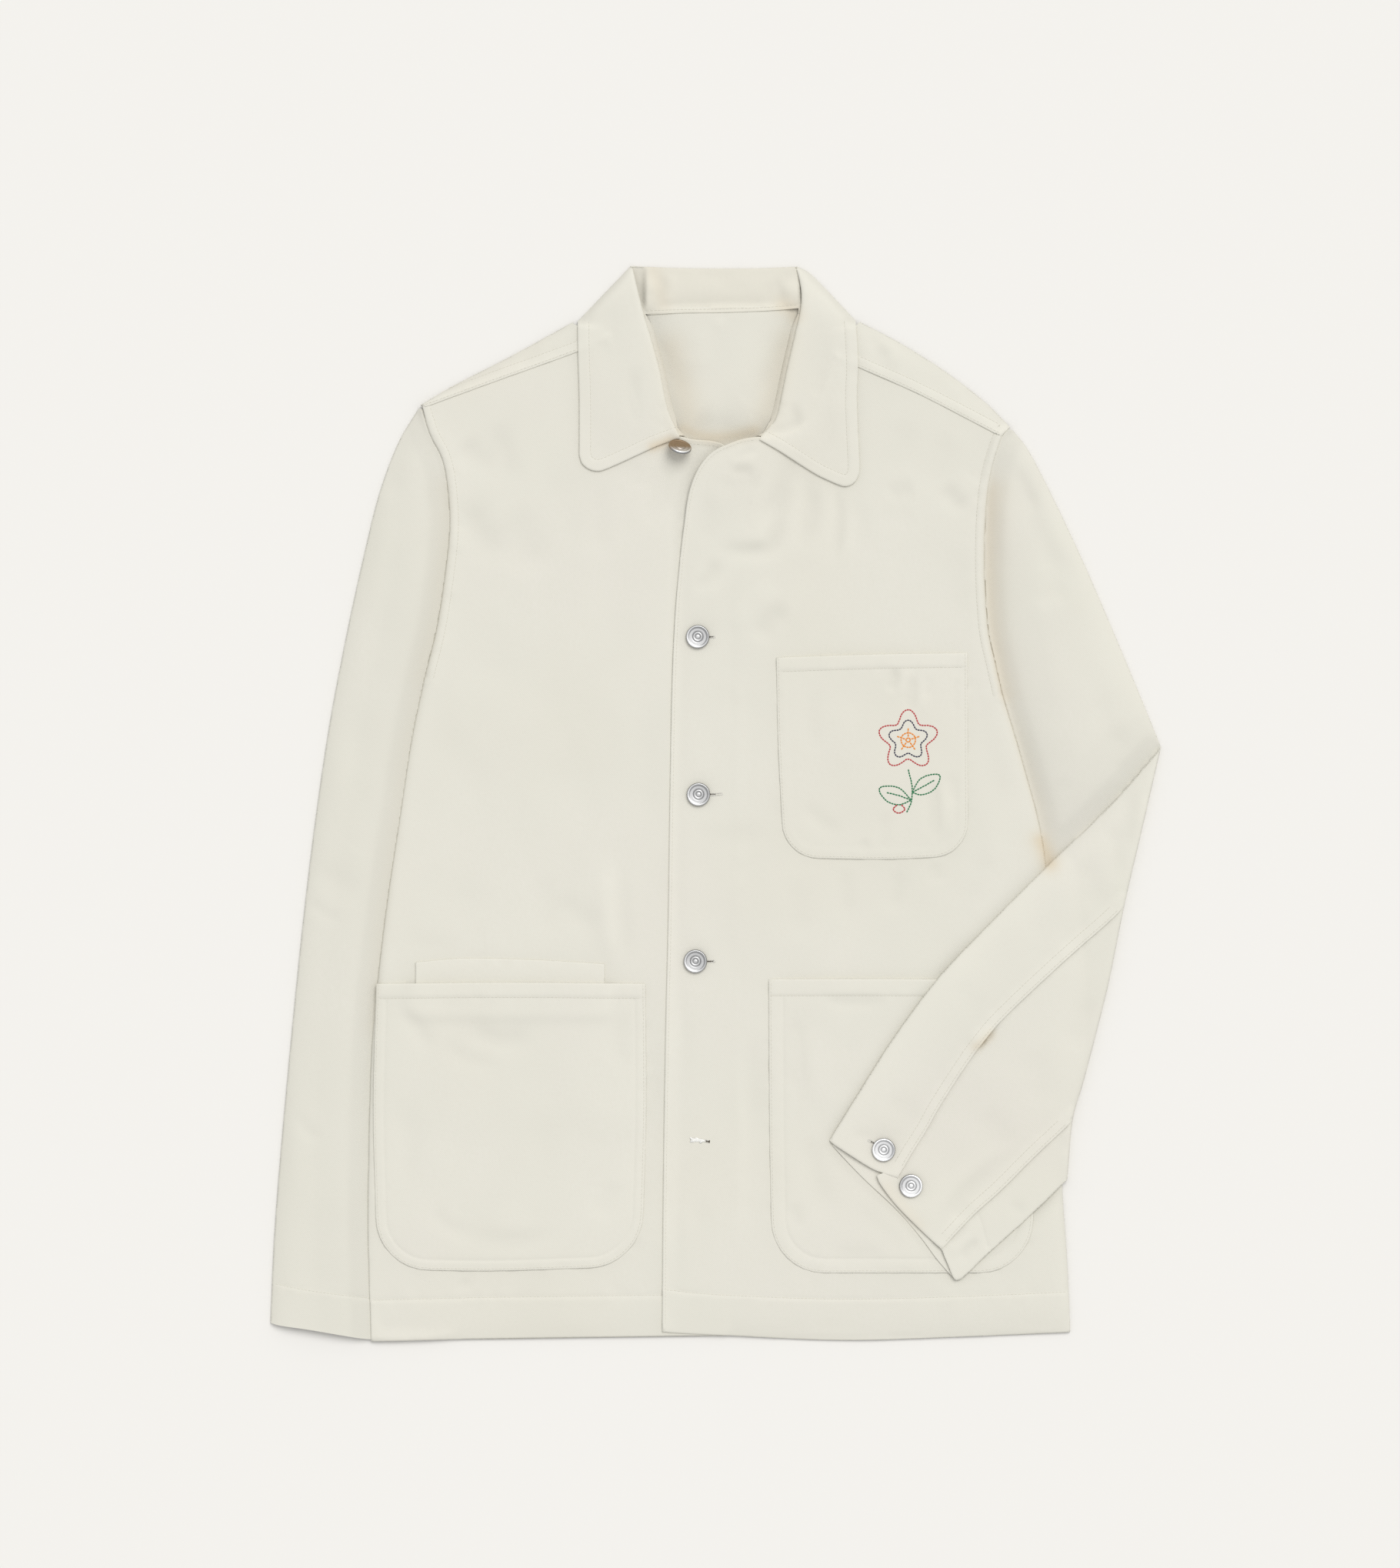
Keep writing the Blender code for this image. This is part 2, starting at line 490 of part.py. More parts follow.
# ---------------------------------------------------------------- pieces
piece("back", [slab(BACK, *back_z), slab(FLAP_R, *front_r_z), slab(FLAP_L, *front_r_z),
               fold_wall(shoulder_r, 1, back_z[0], front_r_z[1]),
               fold_wall(shoulder_l, -1, back_z[0], front_r_z[1])], drill)
piece("front_right", [slab(FRONT_R, *front_r_z)], drill)
piece("front_left", [slab(FRONT_L, *front_l_z)], drill)
piece("collar_stand", [slab(STAND, *stand_z)], drill)
piece("collar_fall", [slab(FALL, *fall_z), slab(LEAF_OUT_R, *leaf_z), slab(LEAF_OUT_L, *leaf_z),
                      fold_wall([peak_r, at(751, 418)], 1, fall_z[0], leaf_z[1]),
                      fold_wall([peak_l, at(1112, 418)], -1, fall_z[0], leaf_z[1])], drill)
piece("inner_pocket", [slab(welt_outline, *welt_z)], drill)
for name, outline in outlines.items():
    piece(name, [slab(outline, *pocket_z[name])], drill)

top = slab(SLEEVE_OUT_R, *sleeve_high)
for more in (slab(SLEEVE_OUT_R, *sleeve_low), fold_wall(outer_r, 1, sleeve_low[0], sleeve_high[1]),
             fold_wall(inner_r, -1, sleeve_low[0], sleeve_high[1])):
    top = combine(top, more, "UNION")
top = combine(top, prism(inset(WINDOW_R, -HALF), -0.002, CLOTH + GAP / 2), "DIFFERENCE")
piece("sleeve_right_top", [top], drill)
piece("sleeve_right_under", [combine(slab(SLEEVE_OUT_R, *sleeve_low), prism(inset(WINDOW_R, HALF), -0.002, 0.004), "INTERSECT")], drill)

piece("sleeve_left_top", [
    slab(UPPER_TOP, *sleeve_high), slab(FORE_UNDER, *fore_z), fold_wall(fold_in, -1, sleeve_high[0], fore_z[1]),
    slab(UPPER_STRIP_OUT, *sleeve_low), slab(UPPER_STRIP_IN, *sleeve_low),
    fold_wall(u_outer, -1, sleeve_low[0], sleeve_high[1]), fold_wall(u_inner[:-1], -1, sleeve_low[0], sleeve_high[1]),
    slab(FORE_STRIP_OUT, *fore_top_z), slab(FORE_STRIP_IN, *fore_top_z),
    fold_wall(f_upper, 1, fore_z[0], fore_top_z[1]), fold_wall(f_lower, 1, fore_z[0], fore_top_z[1]),
    fold_wall(shortened(fold_l[:3], 0, 0.0019), -1, sleeve_low[0], fore_top_z[1], 0.00004),
    fold_wall(shortened(fold_l[5:], 0.0019, 0), -1, sleeve_low[0], fore_top_z[1], 0.00004)], drill)
mid_fold = shortened(fold_l[2:6], 0.0015, 0.0015)
piece("sleeve_left_under", [slab(UPPER_MID, *sleeve_low), slab(FORE_MID, *fore_top_z),
                            fold_wall(mid_fold, -1, sleeve_low[0], fore_top_z[1])], drill)


# ---------------------------------------------------------------- buttons
def height_at(p, top, outline):
    """Highest corner of the facets of a layer under a button."""
    r = BUTTON_D / 2
    disc = [(p[0] + r * math.cos(a), p[1] + r * math.sin(a)) for a in np.linspace(0, 2 * math.pi, 9)[:-1]]
    return max(top[k] for t in touched(disc) for k in t)


for name, gx, gy, tilt in BUTTONS:
    x, y = at(gx, gy)
    lies_on = {"button_neck": (front_r_z, FRONT_R), "button_cuff_1": (fore_top_z, FORE), "button_cuff_2": (fore_top_z, FORE)}
    z_cloth = height_at((x, y), lies_on.get(name, (front_l_z, FRONT_L))[0][1], lies_on.get(name, (front_l_z, FRONT_L))[1])
    bm = bmesh.new()
    section = [(0.0, BUTTON_SECTION[0][2])] + [(r, z) for _n, r, z in BUTTON_SECTION] + [(0.0, BUTTON_SECTION[-1][2])]
    vs = [bm.verts.new((r * BUTTON_D / 2, 0.0, z * BUTTON_T)) for r, z in section]
    for a, b in zip(vs, vs[1:]):
        bm.edges.new((a, b))
    me = bpy.data.meshes.new(name)
    bm.to_mesh(me)
    bm.free()
    ob = bpy.data.objects.new(name, me)
    parts.objects.link(ob)
    me.materials.append(metal)
    turn = ob.modifiers.new("turn", "SCREW")
    turn.angle = 2 * math.pi
    turn.steps = turn.render_steps = 20
    turn.use_merge_vertices = True
    turn.merge_threshold = 0.00001
    turn.use_smooth_shade = False
    turn.use_normal_calculate = True
    a = math.radians(tilt)
    lift = BUTTON_D / 2 * math.sin(a) + SHANK_H * math.cos(a) if tilt else SHANK_H
    ob.location = (x, y, z_cloth + GAP + lift)
    ob.rotation_euler = (-a, 0.0, 0.0)
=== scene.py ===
"""Looks of the work jacket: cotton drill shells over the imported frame, laid flat, seen from straight above.

Lengths are in metres. Heights are first worked out on a 1 mm raster, layer by layer in the order in which
the cloth lies, and then read off by the meshes, which add their seams, hems, stitches and rounded edges.
"""
import math

import bpy
import numpy as np
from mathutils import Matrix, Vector
from mathutils.geometry import delaunay_2d_cdt


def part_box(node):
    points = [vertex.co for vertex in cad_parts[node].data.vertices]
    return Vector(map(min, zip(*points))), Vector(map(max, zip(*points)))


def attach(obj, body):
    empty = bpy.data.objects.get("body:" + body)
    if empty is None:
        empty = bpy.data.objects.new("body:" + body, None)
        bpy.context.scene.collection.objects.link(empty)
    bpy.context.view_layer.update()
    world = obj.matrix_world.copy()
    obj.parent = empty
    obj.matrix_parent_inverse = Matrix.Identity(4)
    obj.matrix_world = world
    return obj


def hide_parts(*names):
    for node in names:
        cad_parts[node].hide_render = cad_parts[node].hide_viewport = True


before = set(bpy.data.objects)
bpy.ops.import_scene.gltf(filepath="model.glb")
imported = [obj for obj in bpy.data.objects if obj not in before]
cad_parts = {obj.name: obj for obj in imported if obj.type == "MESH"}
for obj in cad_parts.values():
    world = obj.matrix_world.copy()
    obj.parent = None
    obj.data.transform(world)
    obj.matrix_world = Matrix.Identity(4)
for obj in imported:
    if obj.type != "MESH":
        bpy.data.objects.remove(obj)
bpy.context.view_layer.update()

MM = 0.001
STEP = 0.00056
MID = (929.5, 1044.0)
T = 0.50 * MM         # one ply of drill
GAP = 0.15 * MM       # air between two layers that touch
FINE = 2.3 * MM       # mesh size where cloth shows
COARSE = 7.0 * MM     # where it is covered


# ---------------------------------------------------------------- plan geometry
def at(x, y):
    return ((x - MID[0]) * STEP, (MID[1] - y) * STEP)


def px(*rows):
    return np.array([at(*r) for r in rows])


def smooth(points, n=8):
    """Catmull-Rom curve through the points."""
    p = np.asarray(points, float)
    e = np.vstack([2 * p[0] - p[1], p, 2 * p[-1] - p[-2]])
    out = []
    for i in range(len(p) - 1):
        p0, p1, p2, p3 = e[i:i + 4]
        for k in range(n):
            t = k / n
            out.append(0.5 * (2 * p1 + (p2 - p0) * t + (2 * p0 - 5 * p1 + 4 * p2 - p3) * t * t + (3 * p1 - p0 - 3 * p2 + p3) * t ** 3))
    out.append(p[-1])
    return np.array(out)


def length(line):
    return float(np.linalg.norm(np.diff(line, axis=0), axis=1).sum())


def even(line, step):
    """The line with even spacing, its ends kept."""
    line = np.asarray(line, float)
    s = np.concatenate([[0], np.cumsum(np.linalg.norm(np.diff(line, axis=0), axis=1))])
    n = max(1, int(round(s[-1] / step)))
    q = np.linspace(0, s[-1], n + 1)
    return np.column_stack([np.interp(q, s, line[:, 0]), np.interp(q, s, line[:, 1])])


def curve(*rows, step=2.0 * MM):
    return even(smooth(px(*rows)), step)


def straight(*rows, step=2.0 * MM):
    p = px(*rows)
    return np.vstack([even(p[i:i + 2], step)[(1 if i else 0):] for i in range(len(p) - 1)])


def shift(line, d):
    """The line moved to its left by d."""
    line = np.asarray(line, float)
    t = np.zeros_like(line)
    t[1:-1] = line[2:] - line[:-2]
    t[0], t[-1] = line[1] - line[0], line[-1] - line[-2]
    t /= np.linalg.norm(t, axis=1)[:, None]
    return line + np.column_stack([-t[:, 1], t[:, 0]]) * d


def cut(line, keep):
    """The part of a line whose points pass a test."""
    return np.array([p for p in line if keep(p)])


def above(line, y):
    v = at(0, y)[1]
    return cut(line, lambda p: p[1] > v)


def below(line, y):
    v = at(0, y)[1]
    return cut(line, lambda p: p[1] < v)


def ring(*runs):
    """A closed outline, counter-clockwise, first point not repeated."""
    out = []
    for run in runs:
        for p in run:
            if not out or math.dist(p, out[-1]) > 0.3 * MM:
                out.append((float(p[0]), float(p[1])))
    while math.dist(out[0], out[-1]) <= 0.3 * MM:
        out.pop()
    a = sum(p[0] * q[1] - q[0] * p[1] for p, q in zip(out, out[1:] + out[:1]))
    return np.array(out if a > 0 else out[::-1])


def closed(outline):
    return np.vstack([outline, outline[:1]])


def ease(v):
    v = np.clip(v, 0, 1)
    return v * v * (3 - 2 * v)


# ---------------------------------------------------------------- 1 mm raster
G = MM
RX, RY, NX, NY = -0.350, -0.412, 701, 830
CX, CY = RX + np.arange(NX) * G, RY + np.arange(NY) * G
XX, YY = np.meshgrid(CX, CY)
PX, PY = XX / STEP + MID[0], MID[1] - YY / STEP     # the measuring grid, at each cell
PAD = 40
KX = np.fft.rfftfreq(NX + 2 * PAD) * 2 * math.pi
KY = np.fft.fftfreq(NY + 2 * PAD) * 2 * math.pi
K2 = KY[:, None] ** 2 + KX[None] ** 2


def fill(outline):
    """Cells inside a closed outline."""
    p = np.asarray(outline)
    m = np.zeros((NY, NX + 1), int)
    for (x0, y0), (x1, y1) in zip(p, np.roll(p, -1, 0)):
        if y0 == y1:
            continue
        rows = np.arange(max(int(math.ceil((min(y0, y1) - RY) / G)), 0), min(int(math.ceil((max(y0, y1) - RY) / G)), NY))
        if len(rows):
            xs = x0 + (CY[rows] - y0) * (x1 - x0) / (y1 - y0)
            np.add.at(m, (rows, np.clip(np.ceil((xs - RX) / G).astype(int), 0, NX)), 1)
    return (np.cumsum(m, 1)[:, :NX] % 2) == 1


def blur(a, s):
    """Gaussian blur, s in millimetres."""
    b = np.pad(a, PAD, mode="edge")
    return np.fft.irfft2(np.fft.rfft2(b) * np.exp(-0.5 * K2 * s * s), s=b.shape)[PAD:-PAD, PAD:-PAD]


def spread(a, r):
    """Each cell takes the highest value within r millimetres."""
    out = a.copy()
    n = int(math.ceil(r))
    for j in range(-n, n + 1):
        for i in range(-n, n + 1):
            if (i or j) and i * i + j * j <= r * r:
                src = a[max(j, 0):NY + min(j, 0), max(i, 0):NX + min(i, 0)]
                dst = out[max(-j, 0):NY + min(-j, 0), max(-i, 0):NX + min(-i, 0)]
                np.maximum(dst, src, out=dst)
    return out


def sample(a, p):
    x = np.clip((p[:, 0] - RX) / G, 0, NX - 1.001)
    y = np.clip((p[:, 1] - RY) / G, 0, NY - 1.001)
    i, j = x.astype(int), y.astype(int)
    u, v = x - i, y - j
    return (a[j, i] * (1 - u) + a[j, i + 1] * u) * (1 - v) + (a[j + 1, i] * (1 - u) + a[j + 1, i + 1] * u) * v


def field(line, reach):
    """Distance, run length and side (left +1) of the nearest point of a line, up to a reach."""
    line = np.asarray(line, float)
    if reach > 25 * MM and length(line) > 20 * MM:
        line = even(line, 5 * MM)
    D, S, W = np.full((NY, NX), reach * 1.0001), np.zeros((NY, NX)), np.ones((NY, NX))
    run = 0.0
    for a, b in zip(line[:-1], line[1:]):
        L = math.dist(a, b)
        if L < 1e-9:
            continue
        i0, i1 = int(max((min(a[0], b[0]) - reach - RX) / G, 0)), int(min((max(a[0], b[0]) + reach - RX) / G + 2, NX))
        j0, j1 = int(max((min(a[1], b[1]) - reach - RY) / G, 0)), int(min((max(a[1], b[1]) + reach - RY) / G + 2, NY))
        if i0 < i1 and j0 < j1:
            e = (b - a) / L
            x, y = CX[i0:i1][None] - a[0], CY[j0:j1][:, None] - a[1]
            t = np.clip(x * e[0] + y * e[1], 0, L)
            dx, dy = x - t * e[0], y - t * e[1]
            d = np.sqrt(dx * dx + dy * dy)
            sub = D[j0:j1, i0:i1]
            near_it = d < sub
            sub[near_it] = d[near_it]
            S[j0:j1, i0:i1][near_it] = (run + t)[near_it]
            W[j0:j1, i0:i1][near_it] = np.where(e[0] * dy - e[1] * dx >= 0, 1.0, -1.0)[near_it]
        run += L
    return D, S, W


def near(P, line, reach):
    """The same for a list of points."""
    line = np.asarray(line, float)
    a, b = line[:-1], line[1:]
    L = np.linalg.norm(b - a, axis=1)
    s0 = np.concatenate([[0], np.cumsum(L)])[:-1]
    ok = L > 1e-9
    a, b, L, s0 = a[ok], b[ok], L[ok], s0[ok]
    D, S, W = np.full(len(P), reach * 1.0001), np.zeros(len(P)), np.ones(len(P))
    for i in range(0, len(a), 5):
        A, B, LL, SS = a[i:i + 5], b[i:i + 5], L[i:i + 5], s0[i:i + 5]
        lo, hi = np.minimum(A, B).min(0) - reach, np.maximum(A, B).max(0) + reach
        idx = np.nonzero((P[:, 0] > lo[0]) & (P[:, 0] < hi[0]) & (P[:, 1] > lo[1]) & (P[:, 1] < hi[1]))[0]
        if not len(idx):
            continue
        e = (B - A) / LL[:, None]
        v = P[idx][:, None] - A
        t = np.clip((v * e).sum(2), 0, LL)
        w = v - e * t[..., None]
        d = np.sqrt((w ** 2).sum(2))
        k = d.argmin(1)
        r = np.arange(len(idx))
        dj = d[r, k]
        better = dj < D[idx]
        r, k, idx = r[better], k[better], idx[better]
        D[idx] = d[r, k]
        S[idx] = (SS + t)[r, k]
        W[idx] = np.where(e[k, 0] * w[r, k, 1] - e[k, 1] * w[r, k, 0] >= 0, 1.0, -1.0)
    return D, S, W


def noise1(s, seed):
    r = np.random.RandomState(seed).uniform(-1, 1, 256)
    i = np.floor(s).astype(int)
    f = s - i
    f = f * f * (3 - 2 * f)
    return r[i % 256] * (1 - f) + r[(i + 1) % 256] * f


def noise2(x, y, seed):
    r = np.random.RandomState(seed).uniform(-1, 1, (64, 64))
    i, j = np.floor(x).astype(int), np.floor(y).astype(int)
    u, v = x - i, y - j
    u, v = u * u * (3 - 2 * u), v * v * (3 - 2 * v)
    i, j = i % 64, j % 64
    k, m = (i + 1) % 64, (j + 1) % 64
    return (r[j, i] * (1 - u) + r[j, k] * u) * (1 - v) + (r[m, i] * (1 - u) + r[m, k] * u) * v


def crease(A, rows, depth, width, lip=0.0, taper=0.35, seed=1):
    """A soft trough (depth above 0) or ridge (below 0) along a given line; lip raises its left flank."""
    line = even(smooth(px(*rows)), 3 * MM)
    L = length(line)
    m = 3.4 * width * MM + G
    lo, hi = line.min(0) - m, line.max(0) + m
    i0, i1 = max(int((lo[0] - RX) / G), 0), min(int((hi[0] - RX) / G) + 2, NX)
    j0, j1 = max(int((lo[1] - RY) / G), 0), min(int((hi[1] - RY) / G) + 2, NY)
    X, Y = np.meshgrid(CX[i0:i1], CY[j0:j1])
    D, S, W = (q.reshape(X.shape) for q in near(np.column_stack([X.ravel(), Y.ravel()]), line, 3.4 * width * MM))
    u = S / L
    env = ease(u / taper) * ease((1 - u) / taper) * (1 + 0.22 * noise1(S / 0.022 + 3, seed))
    w = width * MM * (1 + 0.22 * noise1(S / 0.03 + 9, seed + 1))
    prof = -np.exp(-(D / w) ** 2)
    if lip:
        prof = prof + lip * np.exp(-((D * W - 2.0 * w) / (1.4 * w)) ** 2)
    prof = np.where(D < 3.4 * width * MM, prof, 0)
    A[j0:j1, i0:i1] += depth * MM * prof * env


def creases(A, table, gain=1.25, wide=1.4):
    for n, row in enumerate(table):
        rows, depth, width = row[:3]
        crease(A, rows, depth * gain, width * wide, *(row[3:4] or (0.0,)), seed=11 + 7 * n)


def soft_max(a, b, k=0.5 * MM):
    return 0.5 * (a + b + np.sqrt((a - b) ** 2 + k * k))


def rest_on(H, stiff=1.6, reach=2.0):
    """Underside of a layer laid on the heights H."""
    raw = np.where(H > 0, H + GAP, 0)
    return np.maximum(blur(spread(raw, reach), stiff), raw)


# ---------------------------------------------------------------- meshes
def skin(outline, step=FINE, rings=(0.4, 1.0, 1.9), rows=(), fine=None, coarse=COARSE):
    """Triangles over an outline: rings beside the edge, rows along the seams, a lattice between."""
    B = np.asarray(outline, float)
    C = closed(B)
    mask = fill(B)
    DB = field(C, 12 * MM)[0]
    pts = [B]
    inner = even(C, max(0.8 * step, 1.5 * MM))
    for r in rings:
        q = shift(inner, r * MM)[:-1]
        pts.append(q[near(q, C, 8 * MM)[0] > 0.94 * r * MM])
    edge = rings[-1] * MM if rings else 0.0
    DR = np.full((NY, NX), 1.0)
    for line, offs in rows:
        for o in offs:
            q = shift(even(line, 0.8 * step), o * MM)
            ok = (sample(mask.astype(float), q) > 0.6) & (sample(DB, q) > edge + 0.3 * step)
            pts.append(q[ok])
        DR = np.minimum(DR, field(line, 12 * MM)[0] - max(abs(o) for o in offs) * MM)
    for s, where in ((step, True), (coarse, False)):
        if fine is None and not where:
            continue
        ys = np.arange(B[:, 1].min(), B[:, 1].max(), s * 0.866)
        xs = np.arange(B[:, 0].min() - s, B[:, 0].max(), s)
        X, Y = np.meshgrid(xs, ys)
        X = X + (np.arange(len(ys)) % 2)[:, None] * s * 0.5
        q = np.column_stack([X.ravel(), Y.ravel()])
        ok = (sample(mask.astype(float), q) > 0.99) & (sample(DB, q) > edge + 0.55 * s) & (sample(DR, q) > 0.5 * min(s, step))
        if fine is not None:
            inside = sample(fine.astype(float), q) > 0.5
            ok &= inside if where else ~inside
        pts.append(q[ok])
    n = len(B)
    allp = np.vstack([p for p in pts if len(p)])
    vs, _e, fs, *_ = delaunay_2d_cdt([Vector(p) for p in allp], [], [list(range(n))], 1, 1e-5)
    P = np.array([(v.x, v.y) for v in vs])
    F = np.array([f for f in fs if len(f) == 3])
    a, b, c = P[F[:, 0]], P[F[:, 1]], P[F[:, 2]]
    cr = (b[:, 0] - a[:, 0]) * (c[:, 1] - a[:, 1]) - (b[:, 1] - a[:, 1]) * (c[:, 0] - a[:, 0])
    F = F[np.abs(cr) > 1e-12]
    cr = cr[np.abs(cr) > 1e-12]
    F[cr < 0] = F[cr < 0][:, ::-1]
    used = np.zeros(len(P), bool)
    used[F.ravel()] = True
    new = np.cumsum(used) - 1
    return P[used], new[F]


def rim_edges(F):
    """Directed edges that only one face has."""
    e = np.vstack([F[:, [0, 1]], F[:, [1, 2]], F[:, [2, 0]]])
    n = int(F.max()) + 1
    key, back = e[:, 0] * n + e[:, 1], e[:, 1] * n + e[:, 0]
    return e[~np.isin(key, back)]


def normals(V, F):
    n = np.cross(V[F[:, 1]] - V[F[:, 0]], V[F[:, 2]] - V[F[:, 0]])
    out = np.zeros_like(V)
    for k in range(3):
        np.add.at(out, F[:, k], n)
    return out / np.maximum(np.linalg.norm(out, axis=1), 1e-15)[:, None]


def to_mesh(name, V, F, mat, sharp=50.0):
    me = bpy.data.meshes.new(name)
    me.vertices.add(len(V))
    me.vertices.foreach_set("co", np.ascontiguousarray(V, np.float32).ravel())
    me.loops.add(F.size)
    me.loops.foreach_set("vertex_index", np.ascontiguousarray(F, np.int32).ravel())
    me.polygons.add(len(F))
    me.polygons.foreach_set("loop_start", (np.arange(len(F)) * F.shape[1]).astype(np.int32))
    me.update(calc_edges=True)
    me.validate()
    me.shade_smooth()
    me.set_sharp_from_angle(angle=math.radians(sharp))
    me.materials.append(mat)
    # cloth meshes carry two masks per vertex: the painted shade and painted light, and the painted warm shade with a
    # faint random warm tint
    if "tone_and_painted_shading" in mat:
        at_ = me.attributes.new("tone_and_painted_shading", "FLOAT", "POINT")
        at_.data.foreach_set("value", sample(PAINTED_SHADE_AND_LIGHT, np.asarray(V)[:, :2]).astype(np.float32))
        at_ = me.attributes.new("warm_tint_and_painted_shade", "FLOAT", "POINT")
        at_.data.foreach_set("value", sample(PAINTED_WARM_SHADE_AND_TINT, np.asarray(V)[:, :2]).astype(np.float32))
    ob = bpy.data.objects.new(name, me)
    bpy.context.scene.collection.objects.link(ob)
    return ob


def shell(name, V, F, V2, mat):
    """A closed wall between an outer skin and its inner copy."""
    e = rim_edges(F)
    n = len(V)
    a, b = e[:, 0], e[:, 1]
    walls = np.vstack([np.column_stack([b, a, a + n]), np.column_stack([b, a + n, b + n])])
    return to_mesh(name, np.vstack([V, V2]), np.vstack([F, F[:, ::-1] + n, walls]), mat)


class Cloth:
    """A sheet made of flat-laid skins that join along folds."""

    def __init__(self):
        self.V, self.F, self.T, self.fold = [], [], [], []
        self.n = 0

    def add(self, P, F, z, up=True, thick=T, folds=()):
        V = np.column_stack([P, z])
        keys = np.full(len(P), -1)
        rim = np.unique(rim_edges(F))
        for run in folds:
            k = {(np.float32(x), np.float32(y)) for x, y in run}
            for i in rim:
                if (np.float32(P[i, 0]), np.float32(P[i, 1])) in k:
                    keys[i] = 1
        self.V.append(V)
        self.F.append((F if up else F[:, ::-1]) + self.n)
        self.T.append(np.broadcast_to(thick, (len(P),)).astype(float))
        self.fold.append(keys)
        self.n += len(P)

    def joined(self):
        V, F, TT, fold = np.vstack(self.V), np.vstack(self.F), np.concatenate(self.T), np.concatenate(self.fold)
        first, to = {}, np.arange(len(V))
        groups = {}
        for i in np.nonzero(fold > 0)[0]:
            k = (np.float32(V[i, 0]), np.float32(V[i, 1]), int(round(V[i, 2] / (1.5 * MM))))
            hit = None
            for dz in (0, -1, 1):
                kk = (k[0], k[1], k[2] + dz)
                if kk in first and abs(V[first[kk], 2] - V[i, 2]) < 0.9 * MM:
                    hit = first[kk]
                    break
            if hit is None:
                first[k] = i
                groups[i] = [i]
            else:
                to[i] = hit
                groups[hit].append(i)
        for i, g in groups.items():
            V[i, 2] = np.mean(V[g, 2])
        F = to[F]
        F = F[(F[:, 0] != F[:, 1]) & (F[:, 1] != F[:, 2]) & (F[:, 0] != F[:, 2])]
        used = np.zeros(len(V), bool)
        used[F.ravel()] = True
        new = np.cumsum(used) - 1
        return V[used], new[F], TT[used]

    def build(self, name, mat):
        V, F, TT = self.joined()
        self.area = float(np.linalg.norm(np.cross(V[F[:, 1]] - V[F[:, 0]], V[F[:, 2]] - V[F[:, 0]]), axis=1).sum() / 2)
        N = normals(V, F)
        return shell(name, V, F, V - N * TT[:, None], mat)


AREAS = {}


def cloth_flat(name, P, F, top, bottom, mat):
    """A single ply: its upper face and its underside are given."""
    V, V2 = np.column_stack([P, top]), np.column_stack([P, np.minimum(bottom, top - 0.3 * MM)])
    ob = shell(name, V, F, V2, mat)
    AREAS[name] = float(np.linalg.norm(np.cross(V[F[:, 1]] - V[F[:, 0]], V[F[:, 2]] - V[F[:, 0]]), axis=1).sum() / 2)
    return ob


def round_edge(P, line, r=1.3, drop=0.55):
    """How far the face turns down at an edge."""
    r, drop = 0.75 * r, 0.62 * drop
    D = near(P, line, r * MM)[0]
    t = np.clip(1 - D / (r * MM), 0, 1)
    return -drop * MM * (1 - np.sqrt(np.clip(1 - t * t, 0, 1)))


def seam(P, line, groove=0.22, pucker=0.16, wave=7.0, band=4.0, seed=1, side=0.0):
    """A stitched line: a groove, with small puckers across it."""
    D, S, W = near(P, line, 3 * band * MM)
    amp = pucker * MM * (0.7 + 0.5 * noise1(S / 0.03 + 5, seed + 3))
    z = amp * noise1(S / (wave * MM) + 2, seed) * np.exp(-(D / (band * MM)) ** 2)
    z += 0.5 * amp * noise1(S / (0.43 * wave * MM) + 7, seed + 1) * np.exp(-(D / (0.6 * band * MM)) ** 2)
    z -= groove * MM * np.exp(-(D / (0.75 * MM)) ** 2)
    return np.where(D < 3 * band * MM, z, 0)


def band_up(P, line, width, rise, soft=1.2):
    """Turned cloth beside an edge stands a little higher, up to width from the line."""
    D = near(P, line, (width + 3 * soft) * MM)[0]
    return rise * MM * ease((width * MM + soft * MM - D) / (2 * soft * MM))


# ---------------------------------------------------------------- lines of the jacket (readings of the measuring grid)
shoulder_r = curve((745, 419), (667, 462), (592, 500.5), (547, 527))
shoulder_l = curve((1118, 419), (1171, 447), (1228, 483), (1279, 522), (1313, 555.5))
yoke_r = curve((794, 440), (749, 459), (641, 498), (551, 531))
yoke_l = curve((1083, 464), (1115, 478), (1196, 514), (1300.5, 568))
arm_r = curve((547, 527), (560, 566), (576, 599), (583, 640), (585, 690), (578, 755), (568, 818), (553, 879))
arm_l = curve((1313, 555.5), (1300, 573), (1284, 634.5), (1279, 720), (1283, 812), (1293, 862), (1302, 902))
side_r = curve((553, 879), (536, 960), (520, 1065), (505, 1165), (494, 1254), (485, 1350), (481, 1450), (479, 1600), (483, 1743))
side_l = curve((1302, 902), (1331, 1000), (1355, 1098), (1374, 1260), (1376, 1440), (1380.5, 1545), (1387, 1640), (1391, 1731))
hem_back = curve((483, 1741), (650, 1740), (850, 1737), (1100, 1734), (1391, 1730))
hem_r = curve((483, 1743), (654, 1739), (800, 1737), (944, 1735))
hem_l = curve((861, 1727), (868, 1731), (940, 1735), (1093, 1741.5), (1250, 1737), (1391, 1731))
edge_l = curve((987, 569), (966, 571.5), (945, 579), (930, 586), (918, 596), (905, 615), (895, 644), (889.5, 682), (884, 727), (877.5, 804),
               (873.5, 900), (871, 1033), (868.5, 1200), (865.5, 1330), (863, 1481), (861.5, 1628), (861, 1727))
edge_r = np.vstack([curve((884, 567.5), (893, 570), (905, 572), (925, 573.5), (940, 578), (946, 586)), straight((946.5, 590), (944, 1735))])
